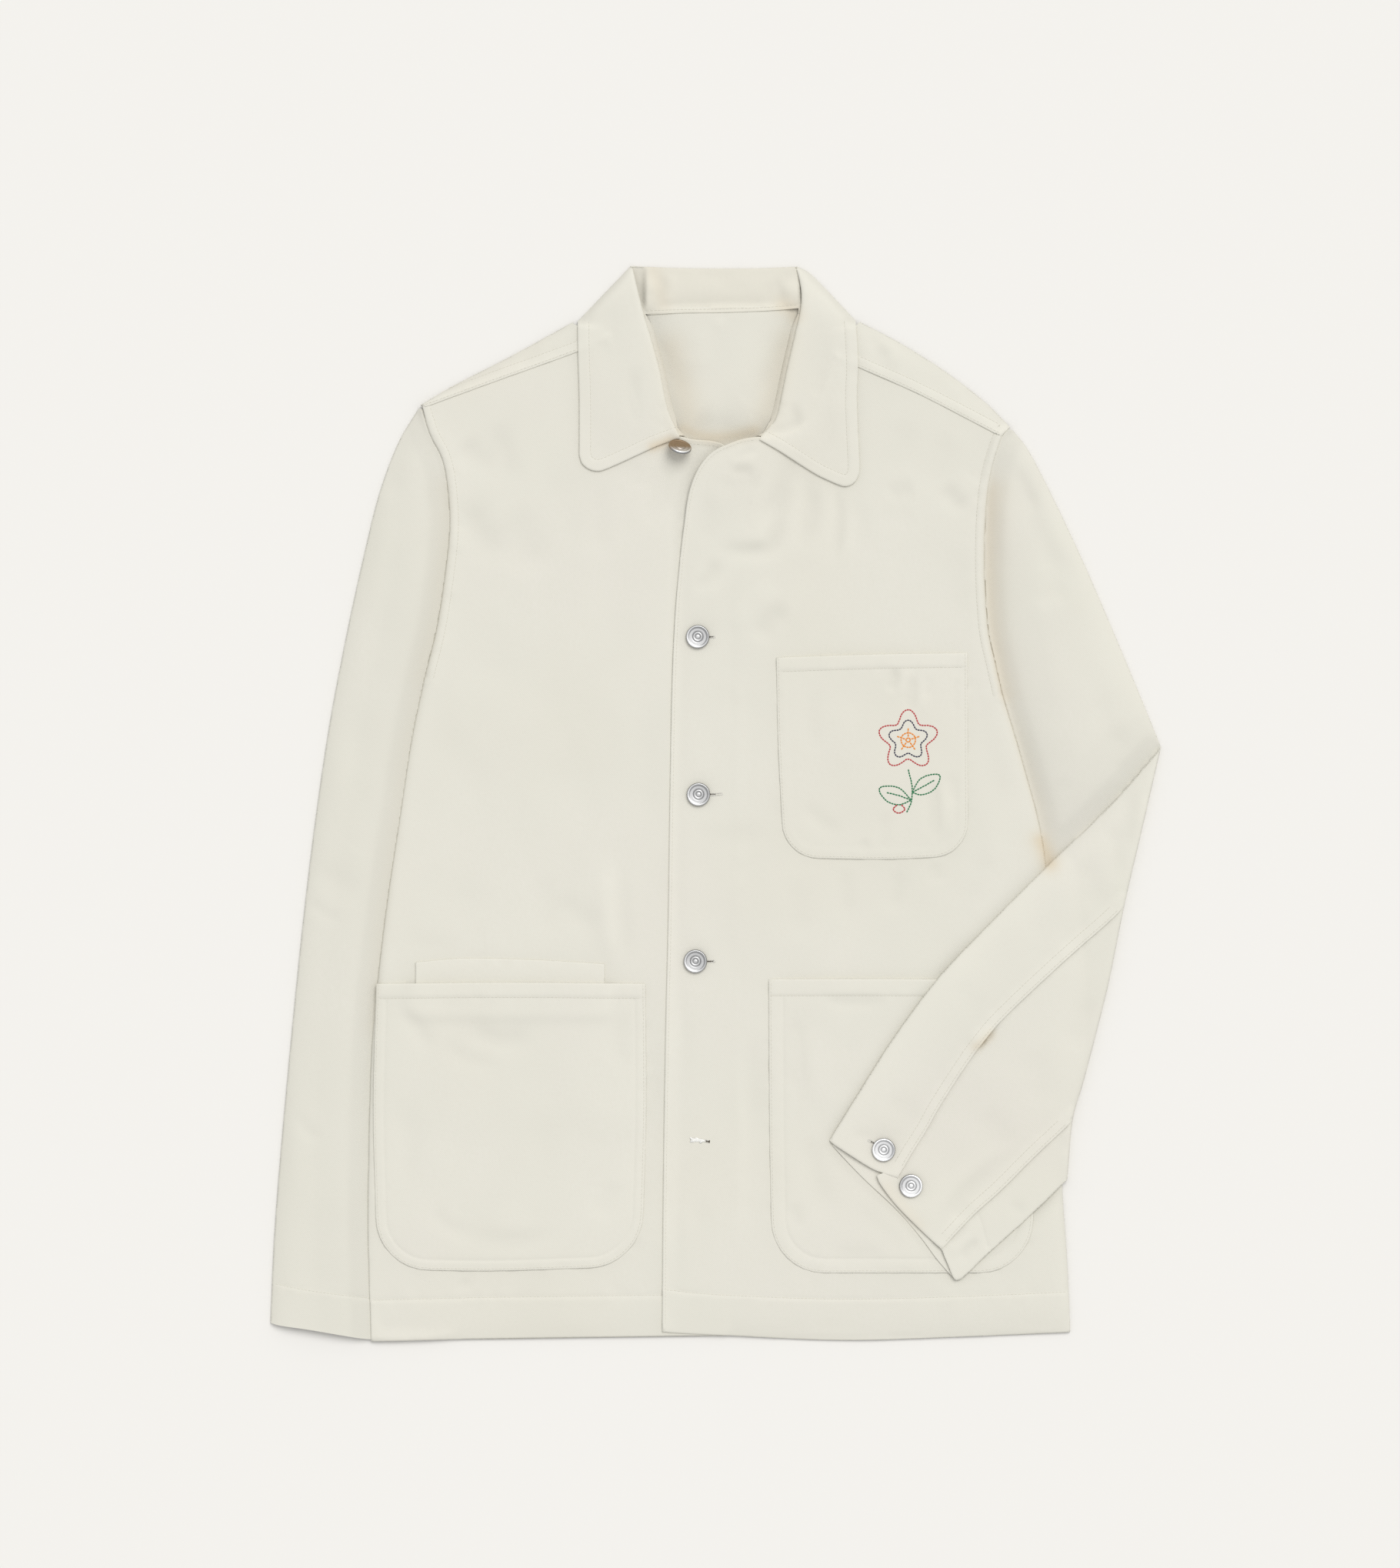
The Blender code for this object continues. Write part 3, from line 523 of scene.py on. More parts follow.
roll_r = curve((884, 567), (869, 535), (858, 484), (847, 443), (836, 406), (822.5, 350))
roll_l = curve((987, 569), (1000, 555), (1010, 540), (1023, 480), (1033, 437), (1040.5, 403), (1041, 377), (1035, 349))
neck_r = curve((874, 570), (846, 552), (812, 492), (794, 440))
neck_l = curve((997, 573), (1040, 556), (1071, 505), (1083, 464))
neck_back = curve((838, 407), (885, 405.8), (935, 405.2), (990, 403.3), (1041, 398))
top_back = curve((821, 346), (870, 348.5), (929, 349.5), (990, 349), (1036, 347))
leaf_fold_r = straight((820, 346), (751, 418))
leaf_fold_l = curve((1036, 347), (1053, 356), (1083, 386), (1112, 417))
leaf_out_r = np.vstack([curve((884, 570), (872, 574), (850, 582.5), (810, 601), (792, 609)), curve((792, 609), (780, 613), (768, 611.5), (757.5, 604), (753.5, 593))[1:],
                        curve((753.5, 593), (753.5, 521), (752, 470), (751, 418))[1:]])
leaf_out_l = np.vstack([curve((987, 573), (1016, 589.5), (1059, 616.5), (1085, 629)), curve((1085, 629), (1098, 633), (1109, 629), (1115.5, 619), (1117, 606))[1:],
                        curve((1117, 606), (1113.5, 521), (1115, 475), (1112, 417))[1:]])

sleeve_r_out = curve((544.5, 531), (518, 576), (494, 640), (474, 720), (450, 830), (425, 965), (400.5, 1145), (378, 1360), (359, 1577), (351.8, 1719))
sleeve_r_cuff = curve((351.8, 1719), (366, 1722), (403, 1727), (446, 1734.5), (483, 1740), (540, 1740), (588, 1733))
sleeve_r_in = curve((588, 1733), (604, 1590), (648, 1385), (697, 1165), (716, 1000), (655, 930), (572, 893))

upper_out = curve((1317, 560), (1343, 597), (1402, 717.5), (1462, 856.5), (1509, 971))
fold_l = curve((1509, 971), (1480, 1095), (1461, 1177), (1441, 1276), (1420, 1360), (1407, 1409), (1394, 1455), (1387, 1532))
upper_in = curve((1387, 1532), (1330, 1390), (1273, 1256), (1225, 1150), (1197, 1071), (1190, 1030), (1225, 965), (1290, 915))
fore_up = curve((1509, 971), (1443, 1046), (1362, 1124), (1286, 1200), (1217, 1273), (1160, 1350), (1118, 1416), (1078, 1481))
fore_low = curve((1249, 1661), (1262, 1649), (1286, 1626), (1334, 1583), (1387, 1532))
seam_a = curve((1461, 1177), (1437.5, 1200), (1376, 1254), (1307, 1319), (1277, 1353), (1250, 1391), (1219, 1440), (1203, 1469), (1187, 1494), (1167, 1528))
seam_b = curve((1394, 1455), (1345, 1501), (1300, 1546), (1264.5, 1578), (1223, 1622))
flap_cuff = curve((1078, 1482), (1089, 1490), (1130, 1516), (1149, 1524), (1167, 1530))
main_cuff = curve((1130, 1512), (1146, 1541), (1168, 1569), (1200, 1601), (1223, 1622))
end_cuff = curve((1223, 1622), (1231, 1641), (1240, 1661), (1249, 1661))
under_cuff = curve((1080, 1486), (1118.6, 1527), (1161.6, 1567.5), (1194, 1604), (1218, 1636), (1240, 1661))
back_seam_out, back_seam_in = 47 * MM, 26 * MM


def corner(a, b, c, r, n=9):
    a, b, c = (np.array(at(*p)) for p in (a, b, c))
    p, q = b + (a - b) / np.linalg.norm(a - b) * r * STEP, b + (c - b) / np.linalg.norm(c - b) * r * STEP
    t = np.linspace(0, 1, n)[:, None]
    k = 0.55
    p1, q1 = p + (b - p) * k, q + (b - q) * k
    return (1 - t) ** 3 * p + 3 * (1 - t) ** 2 * t * p1 + 3 * (1 - t) * t * t * q1 + t ** 3 * q


def pocket(tl, tr, bl, br, r, sides):
    """Mouth, and the run down one side, round the bottom and up the other."""
    mouth = curve(tl, sides[0], tr)
    run = np.vstack([curve(tl, sides[1], tuple(np.array(bl) + (np.array(tl) - bl) * r / math.dist(tl, bl))), corner(tl, bl, br, r)[1:],
                     curve(tuple(np.array(bl) + (np.array(br) - bl) * r / math.dist(br, bl)), sides[2],
                           tuple(np.array(br) + (np.array(bl) - br) * r / math.dist(br, bl)))[1:], corner(bl, br, tr, r)[1:],
                     curve(tuple(np.array(br) + (np.array(tr) - br) * r / math.dist(tr, br)), sides[3], tr)[1:]])
    return mouth, even(run, 2 * MM)


POCKETS = {
    "chest_pocket": pocket((1009, 855), (1257, 849), (1018, 1116), (1258, 1114), 46, ((1137, 851), (1011, 960), (1150, 1117), (1257.5, 980))),
    "pocket_right": pocket((490, 1278), (839, 1278), (489, 1651), (836, 1646), 70, ((660, 1276.5), (486, 1440), (640, 1651), (840, 1440))),
    "pocket_left": pocket((999, 1272), (1348, 1275), (1003, 1653.5), (1341, 1653.5), 68, ((1180, 1272), (1000, 1450), (1170, 1653.5), (1347, 1450))),
}
WELT = ring(curve((541, 1250.5), (600, 1245.5), (690, 1247), (786, 1252.5)), straight((786, 1252.5), (786, 1312)), straight((786, 1312), (541, 1312)), straight((541, 1312), (541, 1250.5)))

# ---------------------------------------------------------------- outlines of the pieces
under = 2.6 * MM      # how far one piece runs under the next at a seam
arm_r_in, arm_l_in = shift(arm_r, under), shift(arm_l, -under)      # towards the body
BODY = ring(px((745, 422)), shoulder_r, arm_r[1:], side_r[1:], hem_back[1:], side_l[::-1][1:], arm_l[::-1][1:], shoulder_l[::-1][1:], px((1112, 424), (1060, 424), (1041, 399)),
            neck_back[::-1][1:-1], px((838, 407), (790, 432), (752, 424)))
BODY_MASK = fill(BODY)
NECK_UP = px((752, 424), (790, 425), (836, 402), (885, 401.5), (935, 401), (990, 399.5), (1042, 394), (1075, 415), (1112, 424))
BACK = ring(px((745, 422)), shoulder_r, above(shift(arm_r, 1.2 * MM), 876)[1:], side_r[1:], hem_back[1:], side_l[::-1][1:], above(shift(arm_l, -1.2 * MM), 899)[::-1][:-1],
            shoulder_l[::-1], NECK_UP[::-1])
FLAP_R = ring(px((745, 422)), shoulder_r, yoke_r[::-1][1:], px((790, 432), (752, 424)))
FLAP_L = ring(px((1118, 419)), shoulder_l[1:], yoke_l[::-1], px((1083, 434), (1112, 424)))
yoke_r_in, yoke_l_in = shift(yoke_r, -under), shift(yoke_l, under)   # the front runs on under the flap
neck_front_r, neck_front_l = neck_r, neck_l
FRONT_R = ring(yoke_r_in, above(arm_r, 876)[8:], side_r, hem_r[1:], edge_r[::-1], neck_front_r)
FRONT_L = ring(yoke_l_in, above(arm_l, 899)[8:], side_l, hem_l[::-1], edge_l[::-1], neck_front_l)
ROLL_IN = 3.6 * MM
def beside(line, d):
    """The line moved by d, less and less towards both its ends."""
    y = MID[1] - line[:, 1] / STEP
    w = ease((y - 396) / 34) * ease((566 - y) / 24)
    return line + (shift(line, d) - line) * w[:, None]


STAND = ring(px((890, 567)), beside(below(roll_r, 408)[3:], -ROLL_IN), curve((846, 409.5), (885, 408), (935, 407.5), (990, 405.5), (1038, 401.5)), beside(below(roll_l, 400)[:-2], ROLL_IN)[::-1][:-2],
             px((983, 567)), shift(neck_l, 1.5 * MM), px((1080, 430), (1098, 416), (1038, 353)), top_back[::-1][1:-1], px((819, 352), (764, 416), (792, 427)),
             shift(neck_r, -1.5 * MM)[::-1])
LEAF_R = ring(leaf_fold_r, leaf_out_r[::-1][1:], roll_r[1:])
LEAF_L = ring(leaf_fold_l, leaf_out_l[::-1][1:], roll_l[1:])
FALL = ring(leaf_fold_r[::-1], top_back[1:-1], leaf_fold_l, px((1080, 468), (930, 478), (785, 466)))
SLEEVE_R = ring(sleeve_r_out, sleeve_r_cuff[1:], sleeve_r_in[1:], arm_r_in[::-1][3:-2])
UPPER_L = ring(upper_out, fold_l[1:], upper_in[1:], arm_l_in[::-1][3:-2])
FORE = ring(fore_up, under_cuff[1:], fore_low[1:], fold_l[::-1][1:])

# ---------------------------------------------------------------- heights, in laying order
M_FALL, M_SLR, M_UPL, M_BACK = fill(FALL), fill(SLEEVE_R), fill(UPPER_L), fill(BACK)
M_FR, M_FL, M_FLAP = fill(FRONT_R), fill(FRONT_L), fill(FLAP_R) | fill(FLAP_L)
M_STAND, M_LEAFR, M_LEAFL, M_FORE = fill(STAND), fill(LEAF_R), fill(LEAF_L), fill(FORE)
NECK_HOLE = fill(ring(roll_r, top_back, roll_l[::-1], px((960, 571), (930, 580), (905, 571))))
D_BODY = field(closed(BODY), 70 * MM)[0]                 # from the edge of the body, both ways
D_OUTSIDE = np.where(BODY_MASK, 0, D_BODY)
D_FORE = field(closed(FORE), 60 * MM)[0]
D_FOREOUT = np.where(M_FORE, 0, D_FORE)
PRESS = np.clip(blur(M_FORE.astype(float), 7), 0, 1)      # where the forearm weighs on the front


def valley(D, width, depth):
    return 1 - depth * np.exp(-(D / (width * MM)) ** 1.35)


# wearer's right sleeve
d = field(sleeve_r_out, 75 * MM)[0]
dip = np.interp(PY, (520, 580, 660, 720, 900, 1500, 1740), (0.30, 0.55, 0.86, 0.96, 1.0, 1.0, 0.9))
full = np.interp(PY, (520, 600, 800, 1500, 1680, 1735), (0.75, 0.95, 1.0, 0.95, 0.72, 0.6))
Z_SLR = 2.3 * MM + 7.0 * MM * full * (1 - np.exp(-d / (11 * MM))) * valley(D_OUTSIDE, 12, dip)
Z_SLR += (0.75 * noise2(PX / 62, PY / 150, 3) + 0.3 * noise2(PX / 34, PY / 60, 4)) * MM * ease(d / (14 * MM)) * ease(D_OUTSIDE / (12 * MM))
creases(Z_SLR, [
    (((540, 560), (520, 600), (507, 660)), 0.9, 6.0),
    (((566, 610), (560, 680), (548, 760)), 0.7, 5.0, 0.3),
    (((520, 700), (500, 790), (486, 880)), 0.5, 9.0),
    (((452, 900), (470, 1000), (470, 1090)), 0.55, 8.0),
    (((405, 1120), (440, 1150), (480, 1165)), 0.5, 6.0, 0.4),
    (((398, 1165), (425, 1190), (452, 1196)), 0.4, 4.0),
    (((440, 1230), (428, 1330), (418, 1430)), 0.45, 10.0),
    (((384, 1440), (400, 1470), (425, 1482)), 0.35, 4.0, 0.3),
    (((410, 1560), (404, 1630), (400, 1690)), 0.4, 6.0),
    (((452, 1500), (446, 1590), (444, 1680)), -0.45, 6.0),
])
Z_SLR = np.maximum(Z_SLR, 2.15 * MM)
w = BODY_MASK * ease(D_BODY / (8 * MM)) * ease((PY - 1540) / 110)       # pressed flat under the hem of the body
Z_SLR = Z_SLR * (1 - w) + 1.45 * MM * w

# wearer's left sleeve, the upper arm
d = field(upper_out, 90 * MM)[0]
dip = np.interp(PY, (560, 600, 680, 740, 900, 1120, 1300), (0.25, 0.55, 0.92, 1.0, 1.0, 1.0, 1.0))
Z_UPL = 2.3 * MM + 7.4 * MM * (1 - np.exp(-d / (12 * MM))) * valley(D_OUTSIDE, 12.5, dip) * valley(D_FOREOUT, 15, 0.97) * valley(field(px((1362, 1124), (1362, 1116)), 60 * MM)[0], 30, 0.6)
Z_UPL += (0.7 * noise2(PX / 70, PY / 90, 5) + 0.3 * noise2(PX / 30, PY / 44, 6)) * MM * ease(d / (14 * MM)) * ease(D_OUTSIDE / (12 * MM))
creases(Z_UPL, [
    (((1306, 586), (1322, 625), (1338, 665), (1360, 715), (1366, 745), (1350, 775), (1334, 792)), 1.35, 6.5, 0.25),
    (((1318, 600), (1334, 640), (1350, 676)), 0.6, 4.0),
    (((1340, 640), (1372, 700), (1385, 740)), -0.5, 7.0),
    (((1300, 640), (1306, 690), (1312, 740)), -0.5, 4.5),
    (((1345, 790), (1366, 775), (1392, 772)), 0.6, 4.5, 0.3),
    (((1372, 690), (1400, 745), (1432, 830)), -0.35, 8.0),
    (((1400, 1010), (1372, 1030), (1352, 1066)), 0.45, 5.0),
    (((1460, 940), (1450, 990), (1446, 1020)), 0.6, 6.0),
    (((1360, 860), (1372, 930), (1378, 1000)), -0.4, 9.0),
    (((1420, 900), (1440, 950), (1462, 985)), 0.4, 6.0),
])
Z_UPL = np.maximum(Z_UPL, 2.15 * MM)

H = np.where(M_FALL, T, 0)
H = np.maximum(H, np.where(M_SLR, Z_SLR, 0))
H = np.maximum(H, np.where(M_UPL, Z_UPL, 0))
LOW_BACK = rest_on(np.where(BODY_MASK, H, 0), 2.2, 2.0)
aim = 1.5 * MM + 0.9 * MM * noise2(PX / 75, PY / 75, 8) * ease(D_BODY / (30 * MM))
creases(aim, [
    (((850, 430), (872, 480), (905, 520)), 0.8, 7.0), (((1028, 430), (1006, 480), (985, 520)), 0.8, 7.0),
    (((905, 420), (912, 452), (906, 490)), -0.45, 8.0), (((960, 420), (968, 470), (958, 520)), -0.5, 9.0),
    (((890, 545), (930, 553), (965, 548)), 0.6, 5.0), (((935, 412), (933, 432)), -0.3, 3.0),
])
aim = aim * (1 - PRESS) + 1.0 * MM * PRESS
D_HOLE = np.minimum(np.minimum(field(roll_r, 70 * MM)[0], field(roll_l, 70 * MM)[0]), field(curve((874, 568), (905, 571), (930, 578), (960, 571), (987, 569)), 70 * MM)[0])
aim += np.where(NECK_HOLE, 5.4 * MM * (1 - np.exp(-(D_HOLE / (19 * MM)) ** 1.5)), 0)
Z_BACK = np.maximum(soft_max(LOW_BACK + T, aim, 0.3 * MM), LOW_BACK + T)
H2 = np.maximum(np.where(M_BACK, Z_BACK, 0), H * BODY_MASK)

# fronts
D_ARMR, D_ARML = field(arm_r, 60 * MM)[0], field(arm_l, 60 * MM)[0]
D_SIDER, D_SIDEL = field(side_r, 40 * MM)[0], field(side_l, 40 * MM)[0]
D_HEM = field(np.vstack([hem_back]), 80 * MM)[0]
D_ROLLR, D_ROLLL = field(roll_r, 90 * MM)[0], field(roll_l, 90 * MM)[0]
D_EDGEL = field(edge_l, 60 * MM)[0]


def front_aim(side):
    f = np.full((NY, NX), 5.6 * MM)
    f += 0.8 * MM * noise2(PX / 120 + side, PY / 150, 21) + 0.42 * MM * noise2(PX / 60 + 0.004 * PY, PY / 84 + side, 22) + 0.12 * MM * noise2(PX / 24 + side, PY / 36, 23)
    f += 0.5 * MM * np.exp(-((np.minimum(D_ARMR, D_ARML) - 5 * MM) / (9 * MM)) ** 2)
    f -= 3.1 * MM * np.exp(-D_HEM / (30 * MM))
    return f


def fit_edges(low, f, D_arm, D_side, ply=T):
    """The face starts on what is under it at the armhole, the side and the hem, and rises inwards."""
    up = (1 - 0.6 * np.exp(-D_arm / (2.0 * MM))) * (1 - 0.7 * np.exp(-D_side / (2.4 * MM))) * (1 - np.exp(-D_HEM / (6 * MM)))
    return low + ply + np.maximum(f - low - ply, 0) * up


AIM_R = front_aim(0.0)
AIM_R -= 1.2 * MM * np.exp(-(field(px((884, 584), (900, 640)), 80 * MM)[0] / (22 * MM)) ** 2)
AIM_R += 1.6 * MM * np.exp(-(D_ROLLR / (30 * MM)) ** 2) * ease((PY - 300) / 200) * ease((880 - PX) / 40)
creases(AIM_R, [
    (((598, 570), (622, 596), (652, 606)), 1.0, 8.0), (((604, 640), (622, 690), (662, 735)), 1.1, 9.0, 0.2),
    (((640, 545), (655, 590), (662, 640)), 0.9, 8.0), (((662, 655), (680, 700), (699, 752)), 0.8, 10.0),
    (((712, 600), (742, 660), (756, 730)), 0.55, 9.0), (((788, 618), (780, 680), (786, 740)), 0.45, 7.0),
    (((846, 596), (852, 640), (848, 690)), 0.5, 4.5), (((862, 592), (866, 640), (862, 676)), 0.5, 4.0),
    (((828, 600), (832, 640)), 0.35, 4.0), (((600, 800), (640, 860), (700, 900)), 0.4, 12.0),
    (((560, 930), (600, 990), (660, 1030)), 0.4, 11.0), (((786, 1100), (790, 1180), (800, 1270)), -0.75, 5.5, 0.0),
    (((806, 1110), (812, 1190), (816, 1268)), 0.5, 5.0), (((720, 1158), (752, 1190), (788, 1206)), 0.6, 7.0, 0.3),
    (((690, 1130), (712, 1170), (716, 1226)), 0.35, 7.0), (((540, 1120), (590, 1160), (650, 1180)), 0.4, 10.0),
    (((520, 1210), (560, 1228), (610, 1226)), 0.35, 6.0), (((700, 980), (760, 1030), (780, 1090)), 0.35, 12.0),
    (((848, 1300), (852, 1400), (850, 1520)), 0.45, 5.0), (((850, 900), (846, 1000), (850, 1100)), 0.35, 7.0),
    (((600, 1660), (606, 1676)), 0.3, 4.0), (((820, 700), (800, 780), (806, 860)), 0.35, 11.0),
])
LOW_FR = rest_on(H2, 1.8)
Z_FR = np.maximum(soft_max(LOW_FR + T, fit_edges(LOW_FR, AIM_R, D_ARMR, D_SIDER)), LOW_FR + T)
lap = ease((PX - 868) / 20)                              # under the other front it lies flatter
Z_FR = Z_FR * (1 - lap) + np.maximum(LOW_FR + T, np.minimum(Z_FR, 3.7 * MM)) * lap
H3 = np.where(M_FR, Z_FR, H2)

AIM_L = front_aim(7.0)
AIM_L += 2.6 * MM * np.exp(-(field(px((987, 569), (940, 582), (916, 600)), 90 * MM)[0] / (34 * MM)) ** 2)
AIM_L += 1.4 * MM * np.exp(-(D_ROLLL / (34 * MM)) ** 2)
creases(AIM_L, [
    (((926, 722), (944, 716), (968, 717), (988, 716), (1001, 709), (1008, 692), (1012, 668), (1022, 640), (1032, 612)), 1.5, 4.6, 0.35),
    (((926, 722), (926, 742), (912, 760), (900, 772)), 0.8, 4.0, 0.3), (((976, 690), (1006, 648), (1026, 612), (1044, 576)), 1.0, 6.0, 0.25),
    (((1046, 606), (1052, 655), (1046, 700), (1036, 740)), 0.7, 4.0, 0.3), (((1060, 620), (1058, 665), (1056, 722)), 0.4, 4.0),
    (((1086, 628), (1091, 668), (1089, 706), (1082, 742)), 0.75, 3.4, 0.35), (((1104, 640), (1118, 680), (1122, 730)), 0.3, 6.0),
    (((1150, 646), (1172, 639), (1192, 637)), 0.7, 6.0, 0.2), (((1140, 660), (1160, 668), (1190, 664)), 0.45, 6.0),
    (((1221, 630), (1238, 648), (1257, 668)), 1.1, 4.2, 0.3), (((1240, 560), (1222, 600), (1216, 650)), 0.5, 9.0),
    (((1180, 540), (1166, 590), (1160, 630)), 0.4, 10.0), (((946, 616), (962, 613), (984, 616)), 0.8, 3.6, 0.4),
    (((928, 640), (960, 628), (1000, 632)), 0.35, 4.5, 0.2), (((950, 600), (972, 589), (988, 586)), 0.5, 2.4, 0.3),
    (((924, 640), (920, 680), (916, 712)), 0.45, 5.0), (((982, 838), (996, 812), (1012, 797), (1030, 788)), 1.1, 5.5, 0.3),
    (((990, 780), (1024, 752), (1050, 716)), 0.35, 7.0), (((935, 790), (952, 840), (950, 900)), 0.3, 8.0),
    (((910, 896), (960, 912), (1000, 904)), 0.3, 7.0), (((890, 1080), (950, 1088), (1010, 1083)), 0.3, 6.0, 0.2),
    (((1250, 700), (1240, 760), (1248, 820)), 0.45, 9.0), (((1030, 1130), (1040, 1180), (1036, 1230)), 0.4, 8.0),
    (((1164, 1124), (1166, 1150), (1160, 1190)), 0.45, 4.5), (((1100, 1122), (1098, 1160), (1104, 1200)), 0.4, 5.0),
    (((1214, 1120), (1220, 1150)), 0.35, 4.0), (((930, 1150), (944, 1210), (940, 1262)), 0.35, 8.0),
    (((962, 1300), (963, 1480), (962, 1660)), -0.3, 4.0), (((964, 600), (963, 900), (962, 1300)), -0.22, 3.4),
    (((975, 1330), (980, 1420), (978, 1500)), 0.45, 5.5), (((905, 1540), (912, 1600), (908, 1660)), 0.35, 6.0),
    (((1270, 930), (1292, 1000), (1312, 1060)), 0.4, 7.0), (((1290, 1100), (1268, 1150), (1262, 1190)), 0.5, 6.0),
    (((1230, 1130), (1250, 1170), (1254, 1216)), 0.35, 6.0), (((884, 1300), (890, 1370), (886, 1440)), 0.35, 5.0),
])
AIM_L = AIM_L - np.maximum(AIM_L - np.interp(PY, (1000, 1300, 1450), (3.6, 3.0, 2.3)) * MM, 0) * PRESS
LOW_FL = rest_on(H3, 1.8)
BUTTON = {n: np.array(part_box(n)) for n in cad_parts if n.startswith("button")}
for n, (lo, hi) in BUTTON.items():
    if "front" in n:
        D = field(np.array([((lo + hi) / 2)[:2], ((lo + hi) / 2)[:2] + 1e-4]), 70 * MM)[0]
        AIM_L += (lo[2] + 0.35 * MM - AIM_L) * np.exp(-(D / (13 * MM)) ** 2)
AIM_L += (4.6 * MM - AIM_L) * np.exp(-(D_EDGEL / (13 * MM)) ** 2) * ease((PY - 660) / 120) * 0.95
Z_FL = np.maximum(soft_max(LOW_FL + T, fit_edges(LOW_FL, AIM_L, D_ARML, D_SIDEL)), LOW_FL + T)
H4 = np.where(M_FL, Z_FL, H3)
# the sleeves' cloth rises to the seam, up to the edge of the body
m = (M_FR | M_FL).astype(float)
reach = blur(np.where(m > 0, H4, 0), 2.0) / np.maximum(blur(m, 2.0), 1e-4)
rise = np.where(BODY_MASK, 0, 1 - ease(D_OUTSIDE / (4.5 * MM))) * ease((1120 - PY) / 260 + 1.0)
Z_SLR += np.clip(reach - 1.0 * MM - Z_SLR, 0, 2.2 * MM) * rise
Z_UPL += np.clip(reach - 1.0 * MM - Z_UPL, 0, 2.2 * MM) * rise

# shoulder flaps of the back, over the fronts
LOW_FLAP = rest_on(H4, 1.6)
D_SH = np.minimum(field(shoulder_r, 50 * MM)[0], field(shoulder_l, 50 * MM)[0])
aim = (5.4 + 0.5 * noise2(PX / 40, PY / 40, 31)) * MM
creases(aim, [(((700, 440), (690, 462), (676, 480)), 0.6, 4.5), (((640, 474), (628, 500)), 0.5, 4.0), (((1130, 430), (1142, 452), (1160, 470)), 0.7, 4.0, 0.3),
              (((1136, 450), (1150, 474), (1172, 490)), 0.5, 4.0), (((1200, 478), (1226, 506), (1260, 530)), 0.5, 5.0), (((1250, 505), (1270, 532)), 0.4, 4.0)])
Z_FLAP = LOW_FLAP + T + np.maximum(aim - LOW_FLAP - T, 0) * (1 - np.exp(-D_SH / (5 * MM)))
H5 = np.where(M_FLAP, Z_FLAP, H4)

# collar stand: flat at the back of the neck, standing up under the leaves
LOW_ST = rest_on(np.where(M_BACK | M_FR | M_FL | M_FLAP, np.where(NECK_HOLE, Z_BACK * M_BACK, H5), 0), 1.5)
D_TOP = field(top_back, 60 * MM)[0]
D_NECKR, D_NECKL = field(neck_r, 60 * MM)[0], field(neck_l, 60 * MM)[0]
rise_r = ease(D_NECKR / (D_NECKR + D_ROLLR + 1e-9)) * ease((PY - 352) / 60) * (PX < 900)
rise_l = ease(D_NECKL / (D_NECKL + D_ROLLL + 1e-9)) * ease((PY - 352) / 60) * (PX > 950)
lift = np.maximum(rise_r * np.interp(PY, (350, 420, 540, 570), (0.8, 3.0, 3.2, 2.4)), rise_l * np.interp(PY, (350, 420, 540, 572), (0.8, 3.0, 3.2, 2.4))) * MM
aim = (3.0 + 1.6 * np.sin(np.clip((PY - 349) / 57, 0, 1) * math.pi)) * MM
aim += 1.6 * MM * (np.exp(-((PX - 826) / 22) ** 2) + np.exp(-((PX - 1038) / 22) ** 2)) * ease((PY - 348) / 30)
creases(aim, [(((857, 354), (861, 374), (855, 400)), 0.8, 2.6, 0.5), (((842, 360), (846, 384)), -0.5, 3.0), (((868, 360), (870, 390)), 0.35, 2.6),
              (((1010, 358), (1013, 380), (1022, 400)), 0.8, 2.6, 0.5), (((1024, 354), (1020, 374)), 0.5, 2.4), (((1000, 366), (1000, 392)), 0.4, 3.0),
              (((900, 356), (960, 360)), 0.3, 4.0), (((930, 372), (980, 376)), 0.25, 4.0)])
Z_ST = np.maximum(LOW_ST + T, np.where((PX > 838) & (PX < 1041) & (PY < 408), aim, LOW_ST + T)) + np.where(NECK_HOLE, 0, lift)
D_ROLL = np.minimum(np.where(PY > 404, D_ROLLR, 1), np.where(PY > 398, D_ROLLL, 1))
Z_ST += np.where(NECK_HOLE & (PY > 409), np.interp(PY, (409, 430, 540, 570), (1.4, 3.0, 3.2, 2.0)) * MM * np.clip(1 - D_ROLL / ROLL_IN, 0, 1) ** 0.7, 0)
Z_ST = np.where(M_STAND, Z_ST, 0)
Z_ST = np.where(M_STAND, blur(Z_ST, 1.2) / np.maximum(blur(M_STAND.astype(float), 1.2), 0.2), 0)
Z_ST = np.maximum(Z_ST, LOW_ST + T) * M_STAND
H6 = np.maximum(H5, Z_ST)
Z_ST = np.where(M_STAND, Z_ST, blur(Z_ST, 2.0) / np.maximum(blur(M_STAND.astype(float), 2.0), 1e-3))

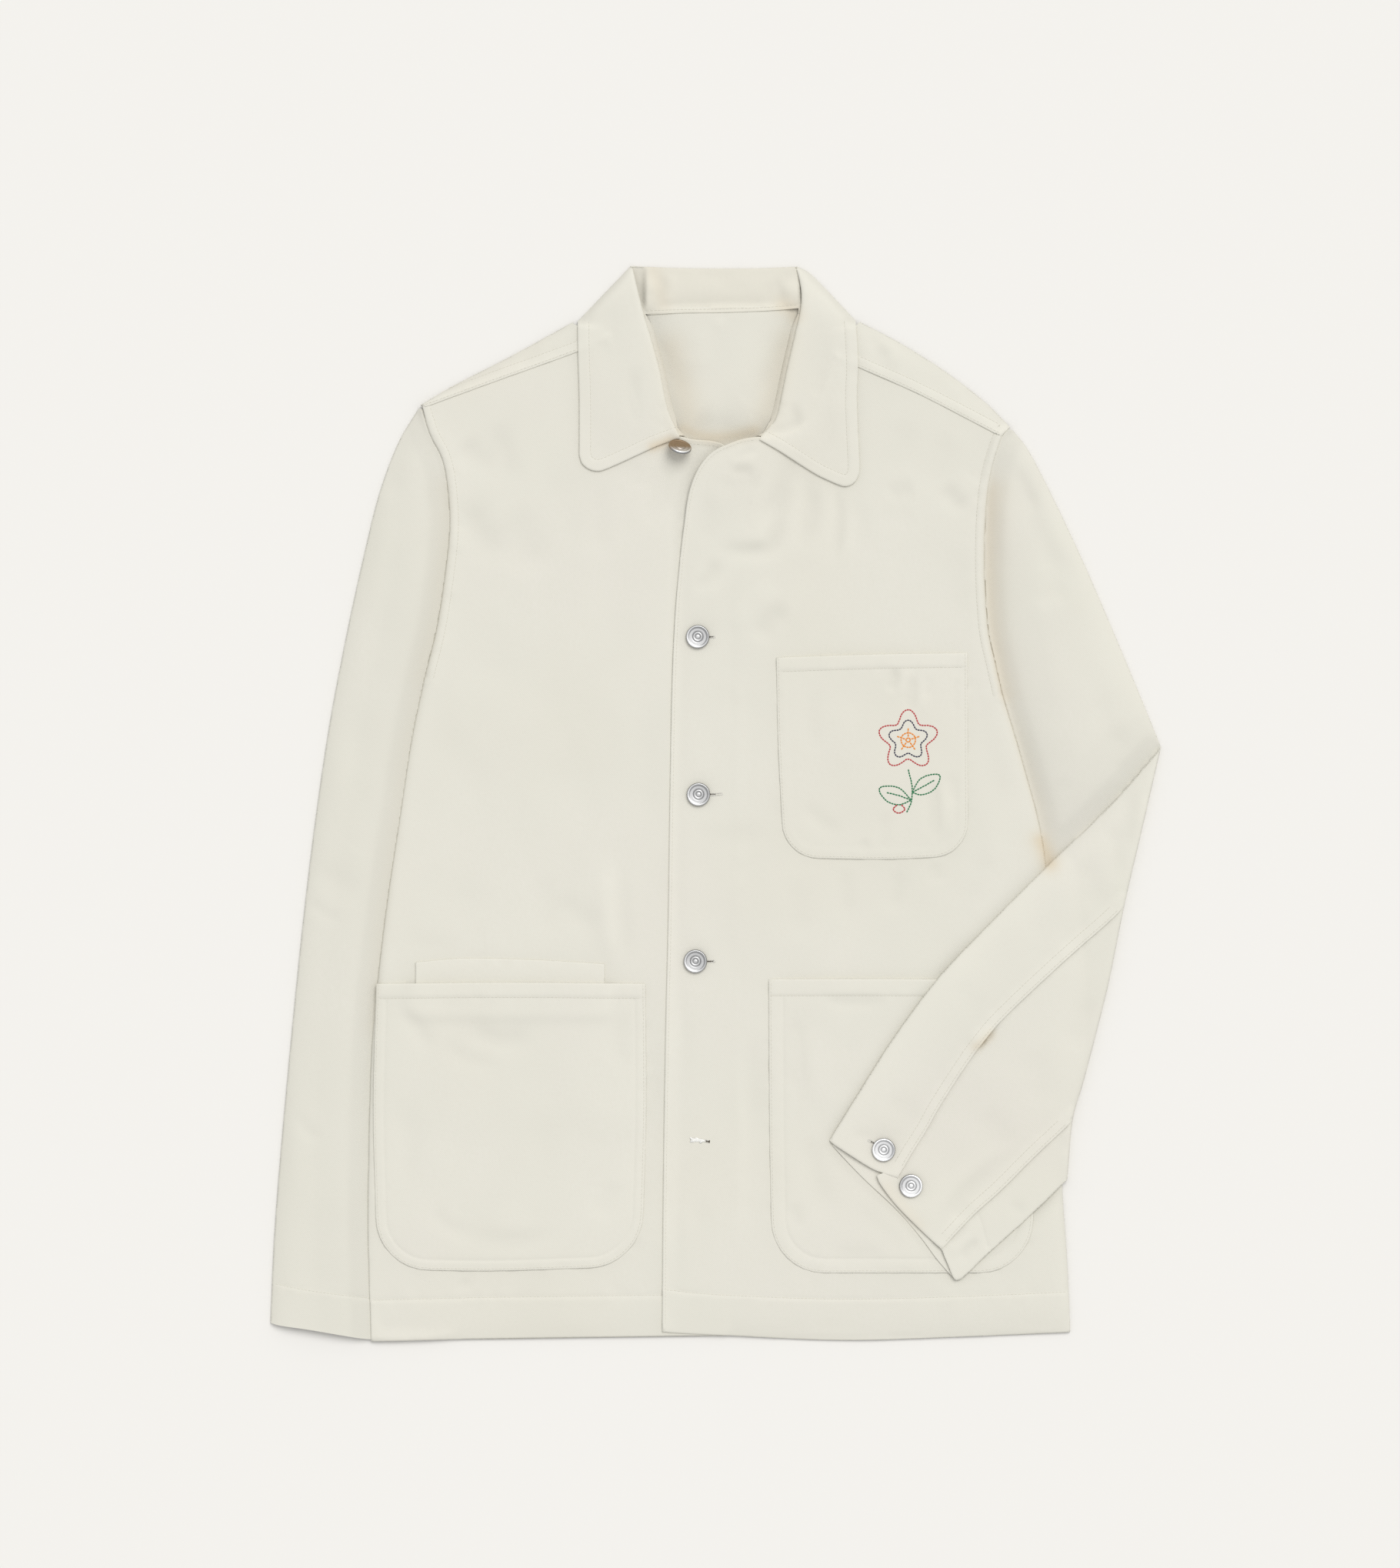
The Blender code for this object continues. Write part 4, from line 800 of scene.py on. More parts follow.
# pockets
LOW_WELT = rest_on(H4, 1.6)
M_WELT = fill(WELT)
Z_WELT = LOW_WELT + 1.2 * MM
P_RING = {n: ring(m, r[::-1]) for n, (m, r) in POCKETS.items()}
M_P = {n: fill(o) for n, o in P_RING.items()}
base = np.where(M_WELT, Z_WELT, H4)
LOW_P, Z_P = {}, {}
for n, (m, r) in POCKETS.items():
    low = rest_on(base, 3.0, 6.0) if n == "pocket_right" else rest_on(base, 1.9, 3.0)
    dm, dr = field(m, 60 * MM)[0], field(r, 60 * MM)[0]
    bag = np.full((NY, NX), 0.0)
    bag += (0.0 + 1.0 * (1 - np.exp(-dr / (16 * MM)))) * MM * (1 if n != "chest_pocket" else 0.9)
    bag += 0.9 * MM * np.exp(-dm / (12 * MM)) * (1 - np.exp(-(dr / (22 * MM)) ** 2))      # the mouth gapes a little
    bag += 0.32 * MM * noise2(PX / 55, PY / 48, 40 + len(n)) * (1 - np.exp(-dr / (12 * MM)))
    if n == "chest_pocket":
        creases(bag, [(((1164, 866), (1162, 884), (1156, 902)), 0.9, 3.0, 0.4), (((1187, 872), (1184, 900), (1182, 930)), 0.8, 3.2, 0.4),
                      (((1206, 876), (1204, 910)), 0.5, 3.0), (((1214, 1010), (1213, 1050), (1215, 1096)), 0.9, 3.0, 0.4), (((1236, 1000), (1238, 1050)), 0.4, 3.0),
                      (((1062, 880), (1056, 930), (1060, 990)), 0.4, 6.0), (((1040, 1040), (1070, 1070), (1100, 1084)), 0.5, 5.0), (((1120, 1090), (1126, 1110)), 0.4, 3.0),
                      (((1150, 1050), (1148, 1090), (1152, 1112)), 0.5, 3.6), (((1090, 900), (1100, 950), (1096, 1010)), -0.35, 7.0), (((1244, 880), (1246, 930)), 0.4, 3.0)])
    elif n == "pocket_right":
        creases(bag, [(((520, 1310), (545, 1336), (560, 1370)), 0.6, 5.0, 0.3), (((600, 1330), (650, 1352), (700, 1342)), 0.7, 6.0, 0.2), (((570, 1350), (610, 1376), (660, 1382)), 0.5, 6.0),
                      (((815, 1310), (806, 1350), (812, 1400)), 0.5, 4.5), (((526, 1420), (534, 1480), (530, 1550)), 0.5, 6.0), (((590, 1600), (660, 1612), (740, 1600)), 0.55, 6.0, 0.2),
                      (((690, 1440), (712, 1500), (704, 1570)), 0.35, 12.0), (((560, 1560), (580, 1590), (620, 1606)), 0.4, 5.0), (((740, 1360), (760, 1420), (756, 1480)), -0.35, 10.0),
                      (((770, 1580), (790, 1560), (800, 1530)), 0.4, 5.0)])
    else:
        creases(bag, [(((1030, 1310), (1036, 1370), (1044, 1450)), 0.7, 5.0, 0.3), (((1050, 1460), (1062, 1530), (1080, 1590)), 0.6, 7.0, 0.2), (((1060, 1298), (1110, 1302), (1160, 1298)), 0.6, 4.0, 0.3),
                      (((1090, 1330), (1100, 1390), (1096, 1440)), 0.35, 9.0), (((1070, 1620), (1110, 1632), (1160, 1628)), 0.5, 5.0), (((1030, 1560), (1040, 1600)), 0.4, 4.0),
                      (((1110, 1560), (1150, 1600), (1190, 1630)), 0.4, 7.0), (((1026, 1330), (1020, 1420)), 0.4, 4.0)])
    bag *= (1 - 0.95 * PRESS) if n == "pocket_left" else 1.0
    LOW_P[n], Z_P[n] = low, low + T + np.maximum(bag, 0.05 * MM)
H7 = H6.copy()
H7 = np.where(M_WELT, np.maximum(H7, Z_WELT), H7)
for n in POCKETS:
    H7 = np.where(M_P[n], Z_P[n], H7)

# collar leaves
LEAF_T = 1.3 * MM
LOW_LF = rest_on(H7, 2.0, 2.0)
D_LFOUT = np.minimum(field(leaf_out_r, 60 * MM)[0], field(leaf_out_l, 60 * MM)[0])
D_LFFOLD = np.minimum(field(leaf_fold_r, 60 * MM)[0], field(leaf_fold_l, 60 * MM)[0])
aim = np.interp(PY, (346, 380, 430, 540, 600), (6.4, 7.6, 7.9, 7.6, 6.8)) * MM + 0.6 * MM * np.exp(-np.minimum(D_ROLLR, D_ROLLL) / (16 * MM))
aim += 0.4 * MM * noise2(PX / 50, PY / 60, 51)
creases(aim, [(((800, 380), (790, 440), (796, 500)), 0.45, 8.0), (((826, 470), (824, 520), (832, 560)), 0.6, 4.0), (((860, 520), (866, 548), (862, 566)), 0.8, 3.0),
              (((770, 430), (776, 500), (772, 560)), -0.35, 7.0), (((1050, 400), (1066, 450), (1060, 500)), 0.5, 8.0), (((1032, 520), (1034, 556), (1030, 586)), 0.9, 3.4, 0.3),
              (((1056, 520), (1070, 560), (1074, 600)), 0.5, 6.0), (((1094, 440), (1090, 500), (1092, 560)), -0.4, 6.0), (((1014, 520), (1006, 548)), 0.6, 3.0),
              (((1078, 480), (1060, 520)), 0.4, 6.0)])
up = (1 - np.exp(-D_LFOUT / (9 * MM))) * (1 - np.exp(-D_LFFOLD / (5 * MM)))
Z_LF = np.maximum(LOW_LF + LEAF_T, LOW_LF + LEAF_T + np.maximum(aim - LOW_LF - LEAF_T, 0) * up)
M_LEAF = (M_LEAFR | M_LEAFL).astype(float)
LFX = blur(Z_LF * M_LEAF, 3.0) / np.maximum(blur(M_LEAF, 3.0), 1e-3)
t = np.clip(1 - D_ROLL / ROLL_IN, 0, 1) ** 0.85
face = (Z_BACK + 0.45 * MM) * (1 - t) + np.maximum(LFX - 2.3 * MM, Z_BACK + 0.45 * MM) * t
Z_ST = np.where(NECK_HOLE & (PY > 409), face, Z_ST)
H7 = np.where(NECK_HOLE & (PY > 409) & M_STAND, face, H7)
H8 = np.where(M_LEAFR | M_LEAFL, Z_LF, H7)

# the folded forearm: underside, lower ply, and the three visible strips
M_IN, M_MID, M_OUT = None, None, None
LOW_FA = np.maximum(blur(spread(spread(spread(np.where(M_FORE, H8 + GAP, 0), 9.0), 9.0), 9.0), 11.0), np.where(M_FORE, H8 + GAP, 0))
LOW_FA = np.maximum(LOW_FA, np.where(M_FORE, 3.0 * MM, 0))
A2_TOP = LOW_FA + T
D_UP, D_LOW = field(fore_up, 60 * MM)[0], field(fore_low, 60 * MM)[0]
D_SEA, _S, W_SEA = field(seam_a, 70 * MM)
D_SEB, _S, W_SEB = field(seam_b, 70 * MM)
D_CUFF = np.minimum(field(under_cuff, 70 * MM)[0], field(end_cuff, 70 * MM)[0])
air = 3.9 * MM * (0.35 + 0.65 * (1 - np.exp(-D_UP / (8 * MM)))) * (0.35 + 0.65 * (1 - np.exp(-D_LOW / (8 * MM)))) * np.interp(PY, (970, 1100, 1400, 1560, 1660), (0.8, 1.1, 0.95, 0.5, 0.25))
air += 0.35 * MM * noise2((PX + PY) / 110, (PX - PY) / 60, 61) * (1 - np.exp(-D_UP / (12 * MM)))
creases(air, [
    (((1478, 1020), (1466, 1070), (1470, 1120)), 0.7, 5.0, 0.3), (((1444, 1060), (1452, 1110), (1446, 1150)), 0.6, 5.0), (((1490, 1030), (1480, 1080)), -0.5, 5.0),
    (((1400, 1110), (1420, 1150), (1424, 1190)), 0.5, 6.0), (((1340, 1180), (1352, 1220), (1346, 1262)), 0.35, 7.0), (((1210, 1600), (1246, 1556), (1284, 1520), (1320, 1492)), 0.7, 4.6, 0.5),
    (((1232, 1616), (1244, 1602), (1256, 1590)), 0.55, 2.8, 0.4), (((1246, 1640), (1258, 1622), (1274, 1608)), 0.7, 2.8, 0.4), (((1238, 1586), (1262, 1560)), 0.4, 3.2),
    (((1330, 1360), (1350, 1400), (1340, 1440)), 0.4, 9.0), (((1270, 1440), (1300, 1470), (1310, 1500)), 0.4, 8.0), (((1150, 1420), (1172, 1440), (1200, 1446)), 0.3, 6.0),
    (((1104, 1478), (1120, 1474), (1134, 1478)), 0.3, 3.0), (((1240, 1270), (1262, 1300), (1290, 1310)), 0.3, 7.0), (((1420, 1290), (1400, 1330), (1396, 1370)), 0.5, 7.0),
    (((1380, 1470), (1386, 1500)), 0.4, 4.0), (((1310, 1560), (1324, 1572), (1330, 1580)), 0.35, 3.0),
])
BASE_FA = A2_TOP + GAP + T + np.maximum(air, 0)
for n, (lo, hi) in BUTTON.items():
    if "cuff" in n:
        D = field(np.array([((lo + hi) / 2)[:2], ((lo + hi) / 2)[:2] + 1e-4]), 70 * MM)[0]
        goal = lo[2] + 0.75 * MM
        BASE_FA += (goal - BASE_FA) * np.exp(-(D / (13 * MM)) ** 2)
BASE_FA = np.maximum(BASE_FA, A2_TOP + GAP + T)

fold_in = shift(fold_l, -1.6 * MM)


def split(line, y):
    v = at(0, y)[1]
    return cut(line, lambda p: p[1] >= v), cut(line, lambda p: p[1] <= v)


fold_a, rest = split(fold_l, 1177)
fold_m, fold_b = split(rest, 1455)
fold_a, fold_b = np.vstack([fold_a, seam_a[:1]]), np.vstack([seam_b[:1], fold_b])
fold_m = np.vstack([seam_a[:1], fold_m, seam_b[:1]])
FORE_OUT = ring(fore_up, flap_cuff[1:], seam_a[::-1][1:], fold_a[::-1][1:])
sa_in, sb_in = shift(seam_a, -under), shift(seam_b, -under)
FORE_MID = ring(fold_m[::-1], px((1455, 1172)), sa_in[4:-3], px((1139, 1526)), cut(main_cuff, lambda p: p[0] > at(1140, 0)[0]), seam_b[::-1][1:])
FORE_IN = ring(fold_b[::-1], px((1389, 1449)), sb_in[4:-1], px((1219, 1617)), end_cuff, fore_low)
UNDER_A = ring(fore_up[3:], under_cuff[1:], fore_low[1:-1], fold_in[3:][::-1])
M_OUT, M_MID, M_IN = fill(FORE_OUT), fill(FORE_MID), fill(FORE_IN)
Z_IN = np.maximum(A2_TOP + GAP + T, BASE_FA - 0.9 * MM * np.exp(-(D_SEB / (1.5 * MM)) ** 2) * (W_SEB > 0))
H9 = np.where(M_IN, Z_IN, A2_TOP * M_FORE)
LOW_MID = rest_on(H9, 1.2, 1.5)
DIP_A = 0.9 * MM * np.exp(-(D_SEA / (1.5 * MM)) ** 2) * (1 + 2.2 * np.exp(-(field(px((1277, 1353), (1283, 1346)), 30 * MM)[0] / (7 * MM)) ** 2))
Z_MID = np.maximum(LOW_MID + T, BASE_FA + 0.55 * MM * ease((12 * MM - D_SEB) / (5 * MM)) - DIP_A * (W_SEA > 0))
H10 = np.where(M_MID, Z_MID, H9)
LOW_OUT = rest_on(H10, 1.2, 1.5)
Z_OUT = np.maximum(LOW_OUT + T, BASE_FA + 0.55 * MM * ease((12 * MM - D_SEA) / (5 * MM)))
Z_OUT += 1.7 * MM * np.exp(-(field(px((1277, 1353), (1281, 1348)), 30 * MM)[0] / (8 * MM)) ** 2)     # the seam opens a little here
Z_B2 = np.where(M_OUT, Z_OUT, np.where(M_MID, Z_MID, Z_IN))

# painted shade and painted light: the cloth's colour is made a little darker in its hollows and lighter where it stands
# up
SEEN = np.where(M_FORE, Z_B2, H8)
CLOTH = ((SEEN > 0.1 * MM) | BODY_MASK | M_STAND).astype(float)


def hollow(s):
    return (SEEN - blur(SEEN * CLOTH, s) / np.maximum(blur(CLOTH, s), 0.02)) / MM


PAINTED_SHADE_AND_LIGHT = np.clip(0.036 * hollow(5.0), -0.045, 0.015) + np.clip(0.009 * hollow(15.0), -0.020, 0.010)
# painted shade: inside the neck the cloth's colour is made duller, most beside the collar rolls
PAINTED_SHADE_AND_LIGHT -= np.where(NECK_HOLE & (PY > 409), 0.012 + 0.022 * np.exp(-(D_ROLL / (13 * MM)) ** 1.5), 0)      # inside the neck the cloth is duller
# painted shade: the collar leaves and the part of the left upper sleeve outside the body and the forearm are made a
# little duller
PAINTED_SHADE_AND_LIGHT -= 0.011 * (M_LEAFR | M_LEAFL) + 0.009 * (M_UPL & (BODY_MASK == 0) & (M_FORE == 0))
PAINTED_SHADE_AND_LIGHT = blur(PAINTED_SHADE_AND_LIGHT, 1.0)

# painted warm shade where the cloth faces itself in a deep fold: course, width in millimetres, depth, side that it lies
# on
PAINTED_WARM_SHADE_AND_TINT = np.zeros((NY, NX))
for ln, wide, deep, side in (
    (curve((1285, 640), (1281, 720), (1284, 800), (1292, 860), (1301, 905)), 10, 0.085, 1),
    (curve((1282, 740), (1284, 800), (1290, 845)), 7, 0.085, 1),
    (curve((1303, 905), (1322, 970), (1342, 1040), (1356, 1096)), 8, 0.045, 1),
    (curve((1352, 1092), (1359, 1108), (1364, 1122)), 6, 0.16, 0),
    (curve((586, 640), (585, 700), (578, 760), (568, 820), (553, 880)), 11, 0.045, -1),
    (curve((549, 900), (532, 980), (518, 1080), (505, 1170), (494, 1260), (488, 1330)), 9, 0.035, -1),
    (curve((872, 452), (880, 480), (889, 515), (896, 548)), 11, 0.055, 0),
    (curve((1022, 440), (1012, 480), (1000, 520), (992, 548)), 9, 0.040, 0),
    (curve((888, 557), (905, 565), (930, 569), (960, 566), (982, 560)), 4.5, 0.120, 0),
    (curve((1018, 398), (1027, 402), (1033, 412)), 6, 0.08, 0),
    (curve((850, 352), (856, 374), (862, 396)), 6, 0.04, 0),
    (curve((848, 582), (862, 577), (872, 573)), 3.0, 0.16, 0),
    (curve((1266, 1360), (1277, 1353), (1288, 1343)), 2.6, 0.11, 0),
    (curve((1152, 1540), (1170, 1563), (1196, 1592)), 4.0, 0.035, 0),
    (curve((700, 448), (650, 478), (600, 506)), 9, 0.012, 0),
):
    D, _s, W = field(ln, 45 * MM)
    g = deep * np.exp(-(D / (wide * MM)) ** 1.7)
    if side:
        g *= np.where(W * side > 0, 1.0, np.exp(-(D / (0.8 * MM)) ** 2))
    # painted shade: beside the right sleeve's seam part of the painted warm shade goes into the painted shade mask
    # instead
    if side < 0:                                     # beside the right sleeve's seam the shade is duller, less warm
        PAINTED_SHADE_AND_LIGHT -= 0.45 * g
        g = 0.6 * g
    PAINTED_WARM_SHADE_AND_TINT = np.maximum(PAINTED_WARM_SHADE_AND_TINT, g)
# a faint warm tint that varies at random over the body, added to the painted warm shade
PAINTED_WARM_SHADE_AND_TINT += 0.010 * np.clip(noise2(PX / 150, PY / 190, 41), 0, 1) * BODY_MASK
PAINTED_WARM_SHADE_AND_TINT = blur(PAINTED_WARM_SHADE_AND_TINT, 1.5)

# ---------------------------------------------------------------- materials
def drill(name, base, dark, twill=1.0):
    """Matt cotton drill: a diagonal twill line, yarn slubs and a faint uneven colour at random, in the cloth's own
    coordinates; the painted shade and painted light of two vertex attributes multiply its colour.
    """
    m = bpy.data.materials.new(name)
    m.use_nodes = True
    nt = m.node_tree
    N, L = nt.nodes, nt.links
    b = N["Principled BSDF"]
    b.inputs["Roughness"].default_value = 0.88
    b.inputs["Sheen Weight"].default_value = 0.12
    b.inputs["Sheen Roughness"].default_value = 0.5
    b.inputs["Specular IOR Level"].default_value = 0.25
    co = N.new("ShaderNodeTexCoord").outputs["Object"]

    def noise(scale, detail, stretch=(1, 1, 1), turn=0.0):
        mp = N.new("ShaderNodeMapping")
        mp.inputs["Scale"].default_value = stretch
        mp.inputs["Rotation"].default_value = (0, 0, turn)
        L.new(co, mp.inputs["Vector"])
        t = N.new("ShaderNodeTexNoise")
        t.inputs["Scale"].default_value = scale
        t.inputs["Detail"].default_value = detail
        L.new(mp.outputs["Vector"], t.inputs["Vector"])
        return t.outputs["Fac"]

    def mix(fac, a, c, kind="MIX"):
        x = N.new("ShaderNodeMix")
        x.data_type = "RGBA"
        x.blend_type = kind
        for sock, v in ((x.inputs["Factor"], fac), (x.inputs["A"], a), (x.inputs["B"], c)):
            if isinstance(v, (tuple, float, int)):
                sock.default_value = v
            else:
                L.new(v, sock)
        return x.outputs["Result"]

    def ramp(v, lo, hi):
        r = N.new("ShaderNodeMapRange")
        r.inputs["From Min"].default_value = lo
        r.inputs["From Max"].default_value = hi
        L.new(v, r.inputs["Value"])
        return r.outputs["Result"]

    tone_and_painted_shading = ramp(noise(9.0, 3.0), 0.35, 0.68)
    col = mix(tone_and_painted_shading, base, dark)
    blush = ramp(noise(5.0, 2.0, turn=0.7), 0.52, 0.72)
    col = mix(blush, col, (base[0] * 1.0, base[1] * 0.988, base[2] * 0.995, 1.0))
    slub = ramp(noise(420.0, 2.0, (1.0, 0.4, 1.0)), 0.3, 0.75)
    col = mix(slub, col, (base[0] * 0.985, base[1] * 0.984, base[2] * 0.978, 1.0))
    # painted shade and painted light from the vertex attribute multiply the colour
    tn = N.new("ShaderNodeAttribute")
    tn.attribute_name = "tone_and_painted_shading"
    up = N.new("ShaderNodeMath")
    up.operation = "ADD"
    up.inputs[1].default_value = 1.0
    L.new(tn.outputs["Fac"], up.inputs[0])
    col = mix(1.0, col, up.outputs[0], "MULTIPLY")
    # painted warm shade from the vertex attribute: it takes out more blue and green than red
    wn = N.new("ShaderNodeAttribute")
    wn.attribute_name = "warm_tint_and_painted_shade"
    cc = N.new("ShaderNodeCombineColor")
    for ch, k in (("Red", -0.35), ("Green", -0.95), ("Blue", -1.7)):
        ma = N.new("ShaderNodeMath")
        ma.operation = "MULTIPLY_ADD"
        ma.inputs[1].default_value, ma.inputs[2].default_value = k, 1.0
        L.new(wn.outputs["Fac"], ma.inputs[0])
        L.new(ma.outputs[0], cc.inputs[ch])
    col = mix(1.0, col, cc.outputs["Color"], "MULTIPLY")
    # marks the cloth materials whose meshes get the painted shading attributes
    m["tone_and_painted_shading"] = 1
    L.new(col, b.inputs["Base Color"])
    w = N.new("ShaderNodeTexWave")
    w.wave_type, w.bands_direction = "BANDS", "DIAGONAL"
    w.inputs["Scale"].default_value = 0.5 / (1.25 * MM) / 1.0
    w.inputs["Distortion"].default_value = 1.2
    w.inputs["Detail"].default_value = 1.0
    L.new(co, w.inputs["Vector"])
    bump = N.new("ShaderNodeBump")
    bump.inputs["Strength"].default_value = 0.35 * twill
    bump.inputs["Distance"].default_value = 0.12 * MM
    L.new(w.outputs["Fac"], bump.inputs["Height"])
    bump2 = N.new("ShaderNodeBump")
    bump2.inputs["Strength"].default_value = 0.3
    bump2.inputs["Distance"].default_value = 0.25 * MM
    L.new(noise(260.0, 3.0), bump2.inputs["Height"])
    L.new(bump.outputs["Normal"], bump2.inputs["Normal"])
    L.new(bump2.outputs["Normal"], b.inputs["Normal"])
    m.diffuse_color = base
    return m


def thread_material(name, base, rough=0.6):
    m = bpy.data.materials.new(name)
    m.use_nodes = True
    nt = m.node_tree
    b = nt.nodes["Principled BSDF"]
    b.inputs["Roughness"].default_value = rough
    b.inputs["Sheen Weight"].default_value = 0.1
    co = nt.nodes.new("ShaderNodeTexCoord")
    t = nt.nodes.new("ShaderNodeTexNoise")
    t.inputs["Scale"].default_value = 900.0
    nt.links.new(co.outputs["Object"], t.inputs["Vector"])
    r = nt.nodes.new("ShaderNodeMix")
    r.data_type = "RGBA"
    r.inputs["A"].default_value = base
    r.inputs["B"].default_value = (base[0] * 0.8, base[1] * 0.8, base[2] * 0.8, 1)
    nt.links.new(t.outputs["Fac"], r.inputs["Factor"])
    nt.links.new(r.outputs["Result"], b.inputs["Base Color"])
    m.diffuse_color = base
    return m


CREAM = (0.706, 0.687, 0.614, 1.0)
CREAM_DARK = (0.688, 0.673, 0.594, 1.0)
DRILL = drill("drill_cream", CREAM, CREAM_DARK)
# the inside face of the collar stand has a weaker twill line; its cream, a little darker and warmer than the outside,
# is painted shade of the neck
DRILL_INSIDE_PAINTED_SHADE = drill("drill_cream_inside_painted_shade", (0.695, 0.670, 0.590, 1.0), (0.683, 0.657, 0.572, 1.0), 0.7)
THREAD = thread_material("thread_cream", (0.74, 0.715, 0.63, 1.0))


# ---------------------------------------------------------------- threads
def thread_mesh(name, segments, mat, width=0.42, high=0.24, lift=0.04):
    """Stitches as short rounded bars; a segment is (p, q, z_p, z_q)."""
    V, F = [], []
    k = 0
    for p, q, zp, zq in segments:
        p, q = np.append(p, zp + lift * MM), np.append(q, zq + lift * MM)
        d = q - p
        L = np.linalg.norm(d)
        if L < 1e-6:
            continue
        d /= L
        s = np.array([-d[1], d[0], 0.0])
        s /= max(np.linalg.norm(s), 1e-9)
        u = np.cross(d, s)
        u = u if u[2] > 0 else -u
        w, h = 0.5 * width * MM, high * MM
        V += [p, p + d * 0.16 * L + s * w, p + d * 0.16 * L + u * h, p + d * 0.16 * L - s * w, p + d * 0.16 * L - u * h * 0.6,
              q - d * 0.16 * L + s * w, q - d * 0.16 * L + u * h, q - d * 0.16 * L - s * w, q - d * 0.16 * L - u * h * 0.6, q]
        for i in range(4):
            j = (i + 1) % 4
            F += [(k, k + 1 + j, k + 1 + i), (k + 1 + i, k + 1 + j, k + 5 + j), (k + 1 + i, k + 5 + j, k + 5 + i), (k + 9, k + 5 + i, k + 5 + j)]
        k += 10
    if not V:
        raise ValueError(name + " has no stitches")
    V, F = np.array(V), np.array(F)
    c = np.cross(V[F[0][1]] - V[F[0][0]], V[F[0][2]] - V[F[0][0]])
    if np.dot(c, V[F[0]].mean(0) - V[:10].mean(0)) < 0:
        F = F[:, ::-1]
    return to_mesh(name, V, F, mat, 80)


def run_of_stitches(line, top, pitch=2.7, gap=0.55, seed=0, mask=None):
    """Lockstitch along a line on a face whose height is top(P)."""
    L = length(line)
    n = max(1, int(L / (pitch * MM)))
    q = even(line, L / n)
    d = np.diff(q, axis=0)
    a, b = q[:-1] + d * (0.5 * gap / pitch), q[1:] - d * (0.5 * gap / pitch)
    rng = np.random.RandomState(seed)
    off = rng.normal(0, 0.05 * MM, (len(a), 1)) * np.column_stack([-d[:, 1], d[:, 0]]) / np.linalg.norm(d, axis=1)[:, None]
    a, b = a + off, b + off
    za, zb = top(a), top(b)
    keep = np.ones(len(a), bool) if mask is None else sample(mask.astype(float), a) > 0.5
    return [(a[i], b[i], za[i], zb[i]) for i in range(len(a)) if keep[i]]


# ---------------------------------------------------------------- pieces
PIECES, STITCH = {}, {}
SEEN_R = (~BODY_MASK) | (D_BODY < 8 * MM)


def add_stitches(owner, runs, top, mask=None, seed=0):
    segs = []
    for i, r in enumerate(runs):
        segs += run_of_stitches(r, top, seed=seed + i, mask=mask)
    STITCH[owner] = thread_mesh("stitches_" + owner, segs, THREAD)


def tube(P, Z1, Z0, runs, up, least=0.8):
    """Height of one side of a flattened tube whose edges are rounded along the runs."""
    hi, lo = Z1(P), Z0(P)
    mid, half = 0.5 * (hi + lo), 0.5 * (hi - lo)
    f = np.ones(len(P))
    for run in runs:
        D = near(P, run, 8 * MM)[0]
        r = np.maximum(half, least * MM)
        t = np.clip(1 - D / r, 0, 1)
        f = np.minimum(f, np.sqrt(np.clip(1 - t * t, 0, 1)))
    return mid + half * f if up else mid - half * f


def on(A):
    return lambda P: sample(A, P)


# wearer's right sleeve
hem_sr = curve((353.6, 1667), (404, 1676), (446, 1682), (492, 1688))
hem_sr_full = np.vstack([hem_sr, curve((492, 1688), (545, 1688), (592, 1681))[1:]])


def top_slr(P):
    z = tube(P, on(Z_SLR), lambda q: np.zeros(len(q)), [sleeve_r_out, sleeve_r_in[:-14]], True)
    z += seam(P, hem_sr, 0.25, 0.22, 8.0, 5.0, 71) * (near(P, sleeve_r_out, 4 * MM)[0] > 2 * MM)
    z += 0.35 * MM * ease((sample(D_CUFFR, P) - 29.5 * MM) / (-1.5 * MM) ) * (near(P, sleeve_r_out, 4 * MM)[0] > 2 * MM)
    return z


D_CUFFR = field(sleeve_r_cuff, 60 * MM)[0]
c = Cloth()
P, F = skin(SLEEVE_R, FINE, (0.12, 0.4, 0.9, 1.8), [(hem_sr, (0, -0.9, 0.9)), (np.vstack([arm_r, side_r[1:]]), (0.7, 0, -0.8, -1.8, -3.2))], fine=SEEN_R)
c.add(P, F, top_slr(P), True, folds=[sleeve_r_out, sleeve_r_in])
seam_so, seam_si = shift(above(sleeve_r_out, 1719.5)[30:], back_seam_out), shift(sleeve_r_in[:-10], -back_seam_in)
cuff_a = cut(sleeve_r_cuff, lambda p: p[0] < seam_so[-1][0] - 1 * MM)
cuff_b = cut(sleeve_r_cuff, lambda p: p[0] > seam_si[0][0] + 1 * MM)
cuff_m = cut(sleeve_r_cuff, lambda p: seam_so[-1][0] + 1 * MM < p[0] < seam_si[0][0] - 1 * MM)
STRIP_SO = ring(sleeve_r_out, cuff_a, seam_so[::-1], arm_r_in[3:int(len(arm_r_in) * 0.55)][::-1])
STRIP_SI = ring(sleeve_r_in, seam_si[::-1], cuff_b)
UNDER_S = ring(shift(seam_so, 0.6 * MM), cuff_m, shift(seam_si, -0.6 * MM), px((690, 985), (640, 935)), arm_r_in[int(len(arm_r_in) * 0.62):-2][::-1])
for o, f in ((STRIP_SO, [sleeve_r_out]), (STRIP_SI, [sleeve_r_in])):
    P, F = skin(o, 5 * MM, (0.12, 0.4, 0.9, 1.8))
    c.add(P, F, tube(P, on(Z_SLR), lambda q: np.zeros(len(q)), [sleeve_r_out, sleeve_r_in[:-14]], False), False, folds=f)
PIECES["sleeve_right_top"] = c.build("sleeve_right_top_cloth", DRILL)
AREAS["sleeve_right_top"] = c.area
